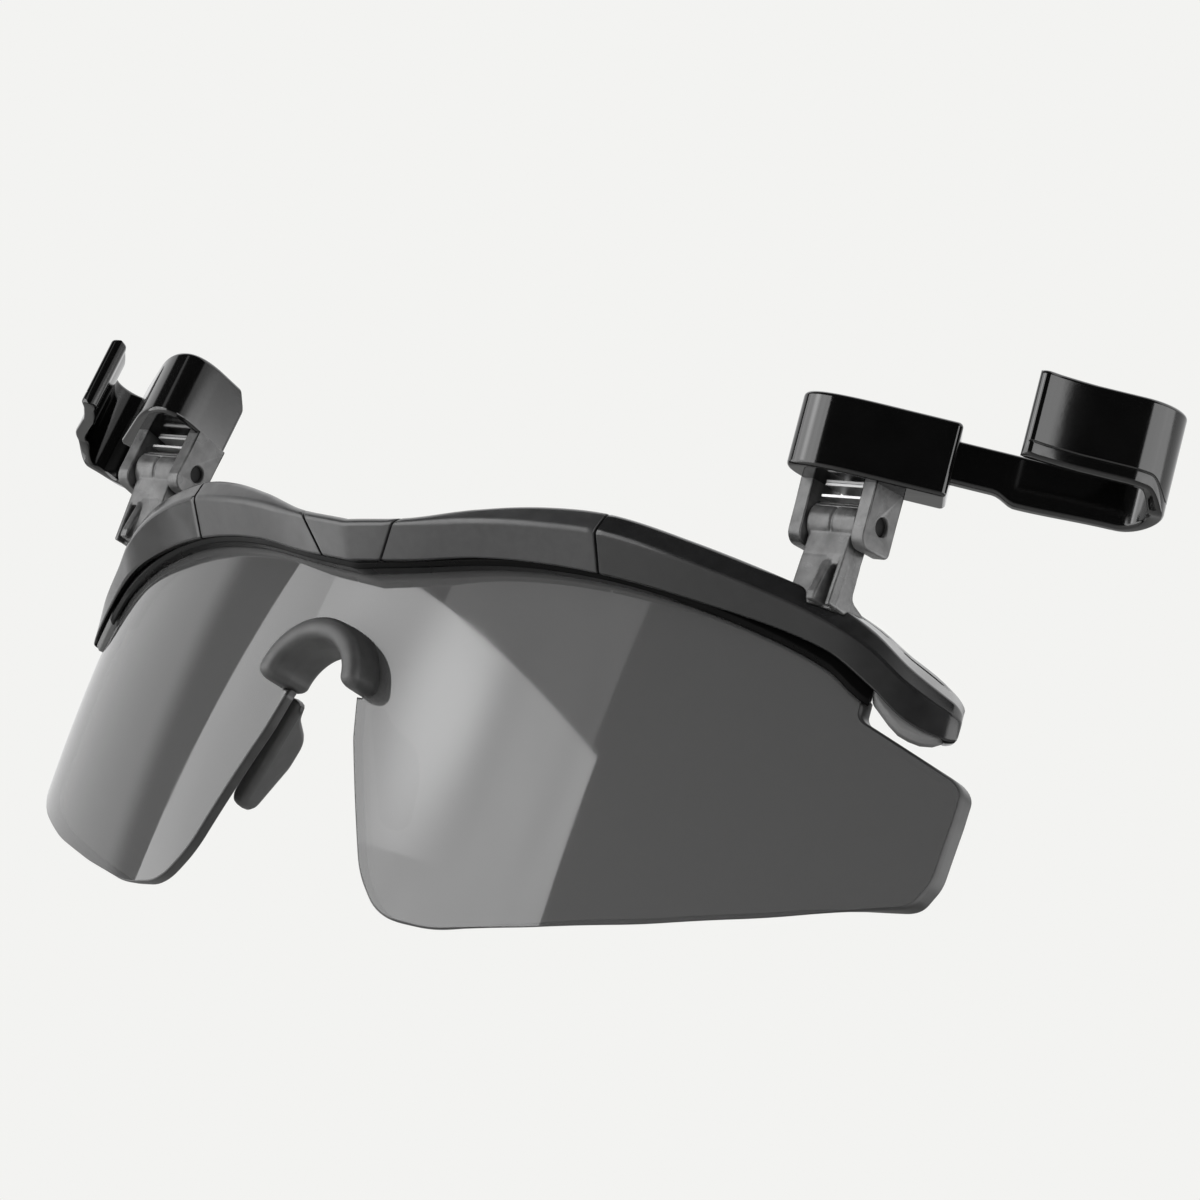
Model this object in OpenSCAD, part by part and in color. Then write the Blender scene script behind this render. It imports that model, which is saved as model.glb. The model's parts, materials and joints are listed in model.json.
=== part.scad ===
// Cap clip-on sunglasses: a one-piece shield lens under a brow frame, with two
// hinged clips whose sliding hooks hold the side edges of a cap's brim.
// X runs from one temple to the other, with the wearer's left at +X. Y runs from
// the front to the face. Z runs up. The origin is on the lens's front face at
// the top of the nose cut-out, midway between the temples.

/* [Lens] */
// Radius of the lens's front face in plan
lens_radius = 106; // [96:1:130]
// Radius of the lens's front face from top to bottom
lens_fall_radius = 283; // [200:1:400]
// Height at which the front face stands upright, below the origin
lens_mid_drop = 8; // [4:1:12]
// Thickness of the lens
lens_t = 1.6; // [1.4:0.1:2.2]
// Width of the lens across both outer edges
lens_width = 148; // [120:1:180]
// Depth of the lens's lowest points below the origin
lens_drop = 30; // [26:1:36]

/* [Brow] */
// Distance of the cover's front ridge in front of the lens
brow_front = 6.3; // [5:0.1:8]
// Distance of the frame's back face behind the lens's front face
brow_back = 2.8; // [2.6:0.1:5]
// Distance of the lip's front face in front of the lens
lip_front = 2.4; // [1.8:0.1:3]
// Wall of the brow covers over the frame
cover_wall = 1.4; // [1:0.1:1.8]
// Depth of the groove that holds the lens
groove_depth = 3.2; // [2:0.1:3.6]
// Width of the seam between two covers
seam_gap = 0.3; // [0.2:0.05:0.5]

/* [Hinge] */
// Distance of each hinge post in from the lens's side edge
post_in = 17; // [14:0.5:22]
// Height of the hinge axis above the frame's top edge
post_rise = 9.3; // [8:0.1:12]
// Radius of the knuckle
knuckle_r = 2.6; // [2.3:0.1:2.7]
// Width of the knuckle between the lugs
knuckle_w = 7.2; // [6:0.1:8]
// Radius of the hinge pin
pin_r = 1.1; // [0.8:0.05:1.3]
// Thickness of each lug
lug_t = 1.9; // [1.4:0.1:2.4]
// Backward lean of the wearer's left clip from the lens
lean_left = -5.5; // [-20:0.5:20]
// Backward lean of the wearer's right clip from the lens
lean_right = 8; // [-20:0.5:20]

/* [Clip] */
// Yaw of the bar, outwards and backwards
clip_yaw = 37; // [30:1:45]
// Height of the box's underside above the hinge axis
box_low = 4.5; // [4.3:0.1:6]
// Height of the box
box_h = 9.1; // [8:0.1:12]
// Length of the box's flat front
box_flat = 14.5; // [13:0.5:18]
// Thickness of the box from front to back
box_deep = 7.2; // [6.8:0.1:10]
// Radius of the box's rounded inner nose
box_round = 4.3; // [3.5:0.1:5]
// Thickness of the sliding bar
bar_t = 2; // [1.6:0.1:2.4]
// Height of the sliding bar
bar_h = 5.1; // [4.6:0.1:5.6]
// Depth of the bar's front face behind the box's front
bar_inset = 2.9; // [2.5:0.1:3.2]
// Travel of the bar out of the box
bar_travel = 6; // [3:0.5:6]

/* [Hook] */
// Distance from the box's outer end to the hook wall's free end
hook_start = 7.2; // [6:0.1:12]
// Length of the hook wall from its free end to the turn's outer face
hook_len = 17.5; // [14:0.5:24]
// Height of the hook wall
hook_h = 10.3; // [8:0.1:13]
// Rise of the hook wall's lower edge above the bar's lower edge
hook_rise = 3; // [2:0.1:4]
// Thickness of the hook wall
hook_t = 1.8; // [1.4:0.1:2.2]
// Room for the brim between the box's front plane and the hook wall
brim_gap = 3.7; // [3:0.1:5]

/* [Nose] */
// Half width of the nose cut-out at the arch
nose_half = 5.6; // [5:0.1:6.5]
// Wall of the soft arch around the lens edge
arch_wall = 2.9; // [2.6:0.1:4]
// Depth of the arch in front of the lens's front face
arch_front = 4; // [2.5:0.1:5]
// Depth of the arch behind the lens's front face
arch_back = 3.6; // [3:0.1:5]
// Depth of the arch's legs below the origin
arch_leg = 4.2; // [3.5:0.1:5]
// Depth of a nose pad behind the lens
pad_deep = 6.5; // [5:0.1:8]
// Thickness of a nose pad
pad_t = 2.4; // [2:0.1:3]

/* [Hidden] */

// Clearance between pieces that are fixed to each other
fit_gap = 0.1;
// Clearance between pieces that slide
slide_gap = 0.15;
// Radial clearance between the pin and the knuckle
pin_gap = 0.05;
// A length past any face that a cut runs through
past = 1;
// How much wider and taller the lens is than the outline it is drawn at
wide = lens_width / 148;
tall = lens_drop / 30;
// Distance of each clip from the middle of the frame
post_x = lens_width / 2 - post_in;

// Heights of the brow's edges above the origin, at places from the middle outwards
top_edge = [[0, 16.1], [8.5, 17.1], [17, 19.5], [25, 21.3], [33, 22.1], [43, 21.1], [53.5, 19.7],
    [58.5, 18.6], [62.5, 16.9], [66.5, 14.1], [71.3, 11.4]];
cover_edge = [[0, 12], [9, 12.9], [19, 14.6], [31, 15.2], [44.5, 14.6], [58, 13.3], [63.7, 10.4],
    [66.6, 8.3], [69, 7.4], [71.3, 7.2]];
lip_edge = [[0, 10], [9, 11.1], [20, 13.3], [30, 14.1], [40, 13.9], [51, 12.7], [59, 11.1], [63, 8.9],
    [71.3, 6]];
tab_edge = [[60, 11.5], [63.6, 9.7], [67, 6.7], [69, 6.2], [71.3, 6.4]];
// Height of the cover's front ridge below the top edge
ridge_drop = [[0, 0.9], [9, 1], [18, 2], [28, 2.8], [55, 2.6], [66, 2], [71.3, 1.4]];
// How far the cover's ridge, its lower edge and the lip stand back from the full front distance
ridge_back = [[0, -0.9], [15, -0.6], [33, 0], [43, 0.4], [50, 1.2], [56, 2.2], [61, 3.2], [66, 3.8], [71.3, 4.8]];
foot_back = [[0, 1.6], [15, 2.4], [29, 3], [43, 3.7], [56, 4.3], [71.3, 4.9]];
lip_back = [[0, 0], [30, 0.4], [45, 0.9], [56, 1.3], [71.3, 1.5]];
// How far the top face's back edge stands above its front edge, and behind the lens's front face
rear_rise = [[0, -0.3], [45, -0.3], [52, 0.3], [58, 1.5], [62, 1.9], [66, 2.5], [69, 2.6], [71.3, 1.7]];
cover_back = [[0, 2.8], [46, 2.8], [55, 2.3], [60, 2], [71.3, 2]];

// Where the frame's lens groove stops, and where the covers stop
groove_x = 62.6 * wide;
cover_x = 70 * wide;
temple_x = 71.3 * wide;
// Places of the cover seams at the top and at the bottom edge
centre_seam = [8.2, 4.9];
outer_seam = [33.9, 33.4];

// Slope of a smooth curve through the points p at the point i
function slope(p, i) = (p[min(i + 1, len(p) - 1)][1] - p[max(i - 1, 0)][1])
    / (p[min(i + 1, len(p) - 1)][0] - p[max(i - 1, 0)][0]);
function span(p, x, i = 0) = (i >= len(p) - 2 || x < p[i + 1][0]) ? i : span(p, x, i + 1);
function blend(p, x, i, w, s) = (2 * s ^ 3 - 3 * s ^ 2 + 1) * p[i][1] + (s ^ 3 - 2 * s ^ 2 + s) * w * slope(p, i)
    + (3 * s ^ 2 - 2 * s ^ 3) * p[i + 1][1] + (s ^ 3 - s ^ 2) * w * slope(p, i + 1);
// Value at x of a smooth curve through the points p, drawn for the nominal width
function curve(p, x) = let(u = max(p[0][0], min(abs(x) / wide, p[len(p) - 1][0])), i = span(p, u),
    w = p[i + 1][0] - p[i][0]) blend(p, u, i, w, (u - p[i][0]) / w);

// Radius of the lens's front face in plan at the height z
function lens_rho(z) = lens_radius - lens_fall_radius
    + sqrt(lens_fall_radius ^ 2 - (z + lens_mid_drop) ^ 2);
// A point at the distance d in front of the lens and the height z, in the upright
// plane that stands square to the lens and meets it at the place x
function over_lens(x, d, z) = let(a = asin(x / lens_radius), r = lens_rho(z) + d)
    [r * sin(a), lens_radius - r * cos(a), z];
// Place along Y of a point at the distance d in front of the lens, at its own x and z
function depth(x, d, z) = lens_radius - sqrt((lens_rho(z) + d) ^ 2 - x ^ 2);

// Arc of radius r in the corner p between the corners before and after it
function corner(before, p, after, r) = let(u = (before - p) / norm(before - p), v = (after - p) / norm(after - p),
    half = acos(u * v) / 2, reach = r / tan(half), c = p + (u + v) / norm(u + v) * r / sin(half),
    a = p + u * reach - c, b = p + v * reach - c, turn = acos(max(-1, min(1, a * b / r ^ 2))),
    side = a[0] * b[1] - a[1] * b[0] > 0 ? 1 : -1)
    [for (k = [0:6]) let(t = side * turn * k / 6) c + [a[0] * cos(t) - a[1] * sin(t), a[0] * sin(t) + a[1] * cos(t)]];
// Outline with each corner [x, z, r] rounded
function rounded(p) = [for (i = [0:len(p) - 1]) let(n = len(p), q = [p[i][0], p[i][1]],
    b = p[(i + n - 1) % n], a = p[(i + 1) % n])
    each p[i][2] > 0 ? corner([b[0], b[1]], q, [a[0], a[1]], p[i][2]) : [q]];

// Heights and places that other pieces share
hinge_z = curve(top_edge, post_x) + post_rise;
hinge_y = depth(post_x, 2.4, hinge_z - post_rise);
rail_low = cover_wall + fit_gap;
lug_mid = knuckle_w / 2 + slide_gap + lug_t;
lug_front = 3;
lug_back = 2.6;
nose_centre = [lug_mid * -1 + box_round, -4.3];
flat_start = nose_centre + box_round * [sin(clip_yaw), -cos(clip_yaw)];
bar_low = box_low + (box_h - bar_h) / 2 + 0.5;
bar_back = bar_inset + bar_t;
hook_front = brim_gap + hook_t;
hook_x = box_flat + hook_start;
turn_r = (bar_back + hook_front) / 2;
turn_x = hook_x + hook_len - turn_r;
wall_low = bar_low + hook_rise;
// Length and step of the flare at the hook wall's free end
flare_len = 5;
flare = 0.7;

// Places inside the box, along the bar
bar_inner = 1.6;
window_out = box_flat - 1.4;
window_h = 2.9;
stop_r = 0.6;
stop_x = window_out - stop_r - fit_gap;
spring_r = 1.15;
spring_wire = 0.36;
spring_turns = 6;
// Length of the pressed spring, the travel that the box has room for, and the window's inner end
spring_solid = spring_turns * spring_wire * 1.15;
window_room = stop_x - stop_r - fit_gap - spring_solid;
travel = min(bar_travel, window_room - bar_inner - 1.4);
window_in = window_room - travel;
cover_in = 2.2;
cover_out = box_flat - 1.6;
cover_t = 1.2;
screw_x = [cover_in + 1.3, cover_out - 1.3];
screw_len = min(2.6, box_deep - bar_back - 0.4);

// Mirror a piece of the wearer's left side to the right
module on_right() {
    mirror([1, 0, 0]) children();
}

// Place a clip drawn about its hinge axis, leaning back by the angle
module at_hinge(lean) {
    translate([post_x, hinge_y, hinge_z]) rotate([-lean, 0, 0]) children();
}

// Place a piece drawn along the bar: x along it, y inwards from the box's front
module along_bar() {
    translate([flat_start[0], flat_start[1], 0]) rotate([0, 0, clip_yaw]) children();
}

// Closed solid through equal rings of points, drawn in order along +X. Each end is
// made of convex pieces, given by their corners' places in the ring.
module loft(rings, pieces = []) {
    n = len(rings[0]);
    m = len(rings);
    ends = len(pieces) > 0 ? pieces : [[for (j = [0:n - 1]) j]];
    sides = [for (i = [0:m - 2], j = [0:n - 1]) each let(k = (j + 1) % n)
        [[i * n + j, i * n + k, (i + 1) * n + k], [i * n + j, (i + 1) * n + k, (i + 1) * n + j]]];
    polyhedron([for (r = rings) each r],
        concat([for (e = ends) [for (j = [len(e) - 1:-1:0]) e[j]]], sides,
        [for (e = ends) [for (j = e) (m - 1) * n + j]]));
}

// Distance of the lip's front face from the lens at the place x
function lip(x) = lip_front - curve(lip_back, x);
// Sections of the brow in distance from the lens and height, at the place x
function cover_section(x) = let(t = curve(top_edge, x), r = brow_front - curve(ridge_back, x),
    f = brow_front - curve(foot_back, x), b = curve(cover_edge, x), k = t - curve(ridge_drop, x),
    back = -curve(cover_back, x))
    [[f, b], [r, k], [r - 0.6, t], [back, t + curve(rear_rise, x)], [back, t - cover_wall],
    [lip(x) + fit_gap, t - cover_wall], [lip(x) + fit_gap, b + 0.2]];
function temple_section(x, less) = let(t = curve(top_edge, x), r = brow_front - curve(ridge_back, x),
    f = brow_front - curve(foot_back, x), b = curve(cover_edge, x), k = t - curve(ridge_drop, x),
    back = -curve(cover_back, x))
    [[f - less / 2, b + less], [r - less, k], [r - 0.6 - less, t - less],
    [back + less, t + curve(rear_rise, x) - less], [back + less, b + 0.4 + less], [back + less + 0.5, b + less],
    [f - 0.6 - less / 2, b - 0.2 + less]];
function rail_section(x) = let(t = curve(top_edge, x) - rail_low, b = curve(lip_edge, x),
    g = b + groove_depth, back = -lens_t - slide_gap)
    [[slide_gap, b], [lip(x) - 0.5, b], [lip(x), b + 0.6], [lip(x), t], [-brow_back, t],
    [-brow_back, b + 0.8], [back - 0.4, b + 0.2], [back, b + 0.2], [back, g], [slide_gap, g]];
function tab_section(x) = let(t = curve(top_edge, x) - rail_low, b = curve(tab_edge, x))
    [[-1, b], [lip(x) - 0.5, b], [lip(x), b + 0.6], [lip(x), t], [-1.6, t], [-1.6, b + 0.6]];
function ring(x, section) = [for (p = section) over_lens(x, p[0], p[1])];

// Radius in plan of the lens's back face, near its top edge
lens_back_r = lens_rho(curve(lip_edge, 40)) - lens_t;
// Outline of the lens's half on the wearer's left, from the front
function lens_half() = concat(rounded([[0, 2.6, 0], [nose_half + 0.8, 2.6, 4.6],
    [nose_half + 0.8, -arch_leg - 0.1, 0], [nose_half, -arch_leg - 0.1, 0], [nose_half + 1.6, -9.4 * tall, 10],
    [nose_half + 8.7 * wide, -25.4 * tall, 12], [nose_half + 12.8 * wide, -29.6 * tall, 5],
    [25.6 * wide, -30 * tall, 9], [37 * wide, -27.3 * tall, 60], [49 * wide, -23.5 * tall, 60],
    [61 * wide, -18.6 * tall, 60], [72.4 * wide, -12.6 * tall, 3.2], [73.8 * wide, -8.8 * tall, 6],
    [74 * wide, 3, 2.2],
    [63 * wide, 6.9, 1], [groove_x - 1, 9, 0]]),
    [for (x = [60:-6:0]) [x * wide, curve(lip_edge, x * wide * lens_radius / lens_back_r) + groove_depth - slide_gap]]);

module lens_shield() {
    near = lens_radius - 12;
    half = lens_half();
    outline = concat(half, [for (i = [len(half) - 1:-1:0]) if (half[i][0] > 0) [-half[i][0], half[i][1]]]);
    color("dimgray") intersection() {
        translate([0, lens_radius, 0]) rotate_extrude($fn = 180) intersection() {
            translate([near, -45]) square([20, 80]);
            translate([lens_radius - lens_fall_radius, -lens_mid_drop]) difference() {
                circle(r = lens_fall_radius, $fn = 360);
                circle(r = lens_fall_radius - lens_t, $fn = 360);
            }
        }
        translate([0, lens_radius * 0.6, 0]) rotate([90, 0, 0]) linear_extrude(lens_radius * 0.6 + 10)
            polygon(outline);
    }
}

module brow_frame() {
    color([0.05, 0.05, 0.05]) difference() {
        loft([for (i = [-20:20]) ring(i / 20 * groove_x, rail_section(i / 20 * groove_x))],
            [[0, 1, 2, 3, 9], [3, 4, 8, 9], [4, 5, 6, 7, 8]]);
        for (s = [0, 1]) mirror([s, 0, 0]) translate([post_x, hinge_y, hinge_z]) post_pocket();
    }
}

// Whole cover shell, which the seams cut into five covers
module cover_shell(x0, x1, steps) {
    loft([for (i = [0:steps]) let(x = x0 + (x1 - x0) * i / steps) ring(x, cover_section(x))]);
}

// Slab between two seam lines, each given by its place at the top and bottom
module seam_slab(a, b) {
    low = curve(cover_edge, 0) - 6;
    high = hinge_z;
    translate([0, lens_radius, 0]) rotate([90, 0, 0]) linear_extrude(lens_radius + 20)
        polygon([[a[1], low], [b[1], low], [b[0], high], [a[0], high]]);
}

// Seam place at the slab's top and bottom, from its place at the cover's edges
function seam(p, at) = let(t = curve(top_edge, at), b = curve(cover_edge, at), k = (p[0] - p[1]) / (t - b),
    low = curve(cover_edge, 0) - 6) [p[1] + k * (hinge_z - b), p[1] + k * (low - b)] * wide;

module centre_cover() {
    s = seam(centre_seam, 6.5) - [seam_gap, seam_gap] / 2;
    color([0.16, 0.16, 0.17]) intersection() {
        cover_shell(-14 * wide, 14 * wide, 14);
        seam_slab(-s, s);
    }
}

module inner_cover() {
    color([0.16, 0.16, 0.17]) intersection() {
        cover_shell(2 * wide, 38 * wide, 18);
        seam_slab(seam(centre_seam, 6.5) + [seam_gap, seam_gap] / 2, seam(outer_seam, 34) - [seam_gap, seam_gap] / 2);
    }
}

module outer_cover() {
    s = seam(outer_seam, 34) + [seam_gap, seam_gap] / 2;
    color([0.08, 0.08, 0.08]) difference() {
        intersection() {
            loft(concat([for (i = [0:20]) let(x = 30 * wide + (cover_x - 30 * wide) * i / 20) ring(x, cover_section(x))],
                [for (i = [1:4]) let(x = cover_x + (temple_x - cover_x) * i / 4)
                ring(x, temple_section(x, [0, 0, 0.3, 0.9][i - 1]))]));
            seam_slab(s, [80, 80] * wide);
        }
        translate([post_x, hinge_y, hinge_z]) foot_notch();
    }
}

module temple_tab() {
    start = groove_x + fit_gap;
    end = cover_x - fit_gap;
    color([0.33, 0.33, 0.33]) loft([for (i = [0:6]) let(x = start + (end - start) * i / 6)
        ring(x, tab_section(x))]);
}

// Soft half ring around the top of the nose cut-out, slotted for the lens edge
module nose_bridge() {
    in = nose_half - 0.2;
    out = in + arch_wall;
    color([0.12, 0.12, 0.12]) difference() {
        translate([0, 0, -arch_leg]) rotate([90, 0, 0]) rotate_extrude(angle = 180, $fn = 96)
            polygon(rounded([[in, -arch_back, 0.9], [out, -arch_back, 1.2], [out + 0.3, 0.5, 3],
            [out, arch_front, 1.5], [in + 0.2, arch_front, 1.2], [in, 0.5, 3]]));
        translate([0, lens_t + 0.9, -arch_leg]) rotate([90, 0, 0]) rotate_extrude(angle = 180, $fn = 96)
            translate([nose_half + 0.7, 0]) square([20, lens_t + 1]);
    }
}

// Soft wing that hangs behind the lens along the side of the nose cut-out
module nose_pad() {
    color([0.12, 0.12, 0.12]) translate([nose_half + 0.9, lens_t + 0.9, -arch_leg - 0.4]) rotate([0, -22, 0])
        rotate([0, 0, -16]) rotate([7, 0, 0]) translate([-pad_t / 2, 0, 0]) rotate([90, 0, 90]) linear_extrude(pad_t)
        polygon(rounded([[0.1, -0.2, 0.3], [1.6, -0.2, 0.5], [2.2, -2, 2], [pad_deep - 0.6, -4.6, 3],
        [pad_deep - 0.6, -8.6, 4], [3.6, -15.6, 2], [0.3, -15, 1.6]]));
}

screw_head_r = 0.9;
screw_head_h = 0.5;
screw_shank_r = 0.4;
neck_w = knuckle_w - 0.8;
neck_t = 3.8;
peg_r = 1.1;
peg_h = 2.4;
rail_top = -post_rise - rail_low;
peg_d = (brow_back - lip_front + 1.3) / 2;
peg_y = depth(post_x, -peg_d, hinge_z - post_rise) - hinge_y;
peg_turn = asin(post_x / (lens_radius - peg_d));
peg_back = brow_back - peg_d;
foot_front = 2;
foot_back_y = peg_y + peg_r + 0.4;

// Place a piece on the peg's axis at the rail's top, with the face behind it at +Y
module at_peg() {
    translate([0, peg_y, rail_top]) rotate([0, 0, peg_turn]) children();
}

// Level seat and round pocket in the rail for a post's foot, with the screw's hole
module post_pocket() {
    w = neck_w + 2 * fit_gap;
    translate([-w / 2, -foot_front - fit_gap, rail_top]) cube([w, foot_front + foot_back_y + 2 * fit_gap, 20]);
    at_peg() {
        translate([0, 0, -peg_h - fit_gap]) cylinder(r = peg_r + fit_gap / 2, h = 20, $fn = 32);
        translate([0, 0, -peg_h / 2]) rotate([-90, 0, 0]) cylinder(r = screw_shank_r + 0.04, h = 20, $fn = 32);
        translate([0, peg_back - 0.3, -peg_h / 2]) rotate([-90, 0, 0])
            cylinder(r = screw_head_r + 0.1, h = 20, $fn = 32);
    }
}

// Small screw through the rail's back wall into the peg
module post_screw() {
    color("silver") translate([post_x, hinge_y, hinge_z]) at_peg() translate([0, peg_back - 0.28, -peg_h / 2])
        difference() {
        union() {
            rotate([-90, 0, 0]) cylinder(r = screw_head_r, h = screw_head_h, $fn = 32);
            rotate([90, 0, 0]) cylinder(r = screw_shank_r, h = peg_back - 0.5, $fn = 32);
        }
        translate([-screw_head_r - 0.2, screw_head_h - 0.25, -0.12]) cube([2 * screw_head_r + 0.4, 1, 0.24]);
    }
}

// Notch that a post's foot needs in the cover, about the hinge axis
module foot_notch() {
    w = neck_w + 2 * fit_gap;
    translate([-w / 2, -foot_front - fit_gap, rail_top - 0.15]) cube([w, foot_front + foot_back_y + 2 * fit_gap, 20]);
    translate([0, -20, rail_top + 0.2]) cube([1.6, 20, 20]);
    at_peg() translate([0, 0, -peg_h]) cylinder(r = peg_r + fit_gap, h = 20, $fn = 32);
}

// Post with its knuckle on the hinge axis, a grooved neck and a foot in the frame
module hinge_post() {
    color([0.42, 0.42, 0.42]) translate([post_x, hinge_y, hinge_z]) difference() {
        union() {
            translate([-knuckle_w / 2, 0, 0]) rotate([0, 90, 0]) cylinder(r = knuckle_r, h = knuckle_w, $fn = 48);
            translate([-neck_w / 2, 0, 0]) rotate([90, 0, 90]) linear_extrude(neck_w)
                polygon([[-neck_t / 2, 0], [-neck_t / 2, -4.2], [-foot_front, rail_top + fit_gap],
                [foot_back_y, rail_top + fit_gap], [foot_back_y, rail_top + 1.2], [neck_t / 2, rail_top + 2.2],
                [neck_t / 2 - 0.5, 0]]);
            at_peg() translate([0, 0, -peg_h]) cylinder(r = peg_r, h = peg_h + 1, $fn = 32);
            translate([0.1, 0, 0]) rotate([90, 0, 90]) linear_extrude(1.4) polygon([[-1, -3.4], [-2.3, -3.9],
                [-2.9, rail_top + 1], [-2.9, rail_top + 0.3], [-1, rail_top + 0.3]]);
        }
        translate([-knuckle_w / 2 - past, 0, 0]) rotate([0, 90, 0])
            cylinder(r = pin_r + pin_gap, h = knuckle_w + 2 * past, $fn = 48);
        for (a = [-30:20:210]) rotate([a, 0, 0]) translate([-knuckle_w / 2 - past, knuckle_r + 0.28, 0])
            rotate([0, 90, 0]) cylinder(r = 0.5, h = knuckle_w + 2 * past, $fn = 24);
        translate([1.5, -4, rail_top + 0.6]) cube([0.9, 3.2, post_rise - 3.4]);
        translate([-neck_w / 2 - past, -4, rail_top - past]) cube([neck_w / 2 + past + 0.1, 2.8, 3.8]);
        at_peg() translate([0, -0.2, -peg_h / 2]) rotate([-90, 0, 0]) cylinder(r = screw_shank_r + 0.04, h = 4, $fn = 32);
    }
}

// Plan of the box, about the hinge axis
module box_plan() {
    d = [cos(clip_yaw), sin(clip_yaw)];
    n = [-sin(clip_yaw), cos(clip_yaw)];
    e = flat_start + box_flat * d;
    g = e + box_deep * n;
    k = (g[1] - lug_back) / d[1];
    polygon([[-lug_mid, lug_back], [-lug_mid, nose_centre[1]], nose_centre, flat_start, e, g, g - k * d]);
    translate(nose_centre) circle(r = box_round, $fn = 64);
}

module lug(x) {
    translate([x, 0, 0]) rotate([90, 0, 90]) linear_extrude(lug_t)
        polygon(rounded([[-lug_front, box_low + 0.5, 0], [-lug_front, -3.3, 1.7], [lug_back, -3.3, 0.8],
        [lug_back, box_low + 0.5, 0]]));
}

// Glossy box with its two lugs, the bar's channel and the seat of the rear cover
module clip_housing_at(lean) {
    color([0.03, 0.03, 0.03]) at_hinge(lean) difference() {
        union() {
            translate([0, 0, box_low]) linear_extrude(box_h) box_plan();
            lug(-lug_mid);
            lug(lug_mid - lug_t);
        }
        translate([-lug_mid - past, 0, 0]) rotate([0, 90, 0])
            cylinder(r = pin_r + 0.02, h = 2 * lug_mid + 2 * past, $fn = 48);
        translate([-lug_mid - past, lug_back, box_low + box_h - 2.8]) rotate([42, 0, 0]) cube([12, 8, 8]);
        along_bar() {
            translate([bar_inner - slide_gap, bar_inset - slide_gap, bar_low - slide_gap])
                cube([box_flat, bar_t + 2 * slide_gap, bar_h + 2 * slide_gap]);
            translate([cover_in - fit_gap, box_deep - cover_t, box_low + 1])
                cube([cover_out - cover_in + 2 * fit_gap, cover_t + past, box_h - 2]);
            translate([bar_inner + 1, bar_back, bar_low + 0.6])
                cube([cover_out - bar_inner - 3, box_deep - bar_back, bar_h - 1.2]);
            for (x = screw_x, z = [box_low + 1.9, box_low + box_h - 1.9]) if (x == screw_x[0] && z < bar_low
                || x == screw_x[1] && z > bar_low) translate([x, box_deep, z]) rotate([90, 0, 0])
                cylinder(r = 0.4, h = screw_len + 0.1, $fn = 32);
            translate([stop_x, bar_inset - 1.2, bar_low + bar_h / 2]) rotate([-90, 0, 0])
                cylinder(r = stop_r + 0.02, h = bar_t + 3, $fn = 32);
        }
    }
}

// Rear cover of the box, with a boss that backs the spring
module housing_cover_at(lean) {
    color([0.05, 0.05, 0.05]) at_hinge(lean) along_bar() difference() {
        union() {
            translate([cover_in, box_deep - cover_t + fit_gap, box_low + 1 + fit_gap])
                cube([cover_out - cover_in, cover_t - fit_gap, box_h - 2 - 2 * fit_gap]);
            translate([bar_inner + 1.2, bar_back + slide_gap + 0.05, bar_low + 0.8])
                cube([cover_out - bar_inner - 3.4, box_deep - cover_t + fit_gap - bar_back, bar_h - 1.6]);
        }
        translate([screw_x[0], box_deep + past, box_low + 1.9]) rotate([90, 0, 0])
            cylinder(r = 0.5, h = 8, $fn = 32);
        translate([screw_x[1], box_deep + past, box_low + box_h - 1.9]) rotate([90, 0, 0])
            cylinder(r = 0.5, h = 8, $fn = 32);
        translate([stop_x, bar_inset, bar_low + bar_h / 2]) rotate([-90, 0, 0])
            cylinder(r = stop_r + 0.05, h = bar_t + 1.6, $fn = 32);
    }
}

module cover_screw(x, z) {
    translate([x, box_deep, z]) rotate([90, 0, 0]) cylinder(r = 0.38, h = screw_len, $fn = 32);
    translate([x, box_deep, z]) rotate([-90, 0, 0]) difference() {
        cylinder(r = 0.85, h = 0.45, $fn = 32);
        translate([-1, -0.12, 0.25]) cube([2, 0.24, 0.4]);
    }
}

module cover_screws_at(lean) {
    color("silver") at_hinge(lean) along_bar() {
        cover_screw(screw_x[0], box_low + 1.9);
        cover_screw(screw_x[1], box_low + box_h - 1.9);
    }
}

module hinge_pin_at(lean) {
    sink = 0.5;
    color("silver") at_hinge(lean) translate([-lug_mid + sink, 0, 0]) rotate([0, 90, 0])
        cylinder(r = pin_r, h = 2 * lug_mid - 2 * sink, $fn = 48);
}

// Folded leaf that rides on the knuckle's ribs, under the box
module detent_spring_at(lean) {
    w = knuckle_w - 1.4;
    t = 0.3;
    low = knuckle_r + 0.12;
    high = box_low - 0.03;
    back = lug_back - 0.8;
    r = (high - low) / 2;
    color("silver") at_hinge(lean) translate([-w / 2, 0, 0]) rotate([90, 0, 90]) linear_extrude(w) {
        translate([-1.8, low]) square([back + 1.8, t]);
        translate([-1.6, high - t]) square([back + 1.6, t]);
        intersection() {
            translate([back, low + r]) difference() {
                circle(r = r, $fn = 48);
                circle(r = r - t, $fn = 48);
            }
            translate([back, low - past]) square([r + past, 2 * r + 2 * past]);
        }
    }
}

// Pin across the bar's window, which keeps the bar in the box
module travel_stop_at(lean) {
    color("silver") at_hinge(lean) along_bar() translate([stop_x, bar_inset - 1.1, bar_low + bar_h / 2])
        rotate([-90, 0, 0]) cylinder(r = stop_r, h = bar_t + 2.4, $fn = 32);
}

// Points of the return spring's wire, along the bar
function coil_point(t) = let(a = 360 * spring_turns * t, x0 = window_in + spring_wire / 2 + 0.05,
    x1 = stop_x - stop_r - spring_wire / 2 - 0.05)
    [x0 + (x1 - x0) * t, bar_inset + bar_t / 2 + (spring_r - spring_wire / 2) * 0.8 * cos(a),
    bar_low + bar_h / 2 + (spring_r - spring_wire / 2) * sin(a)];

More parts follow.
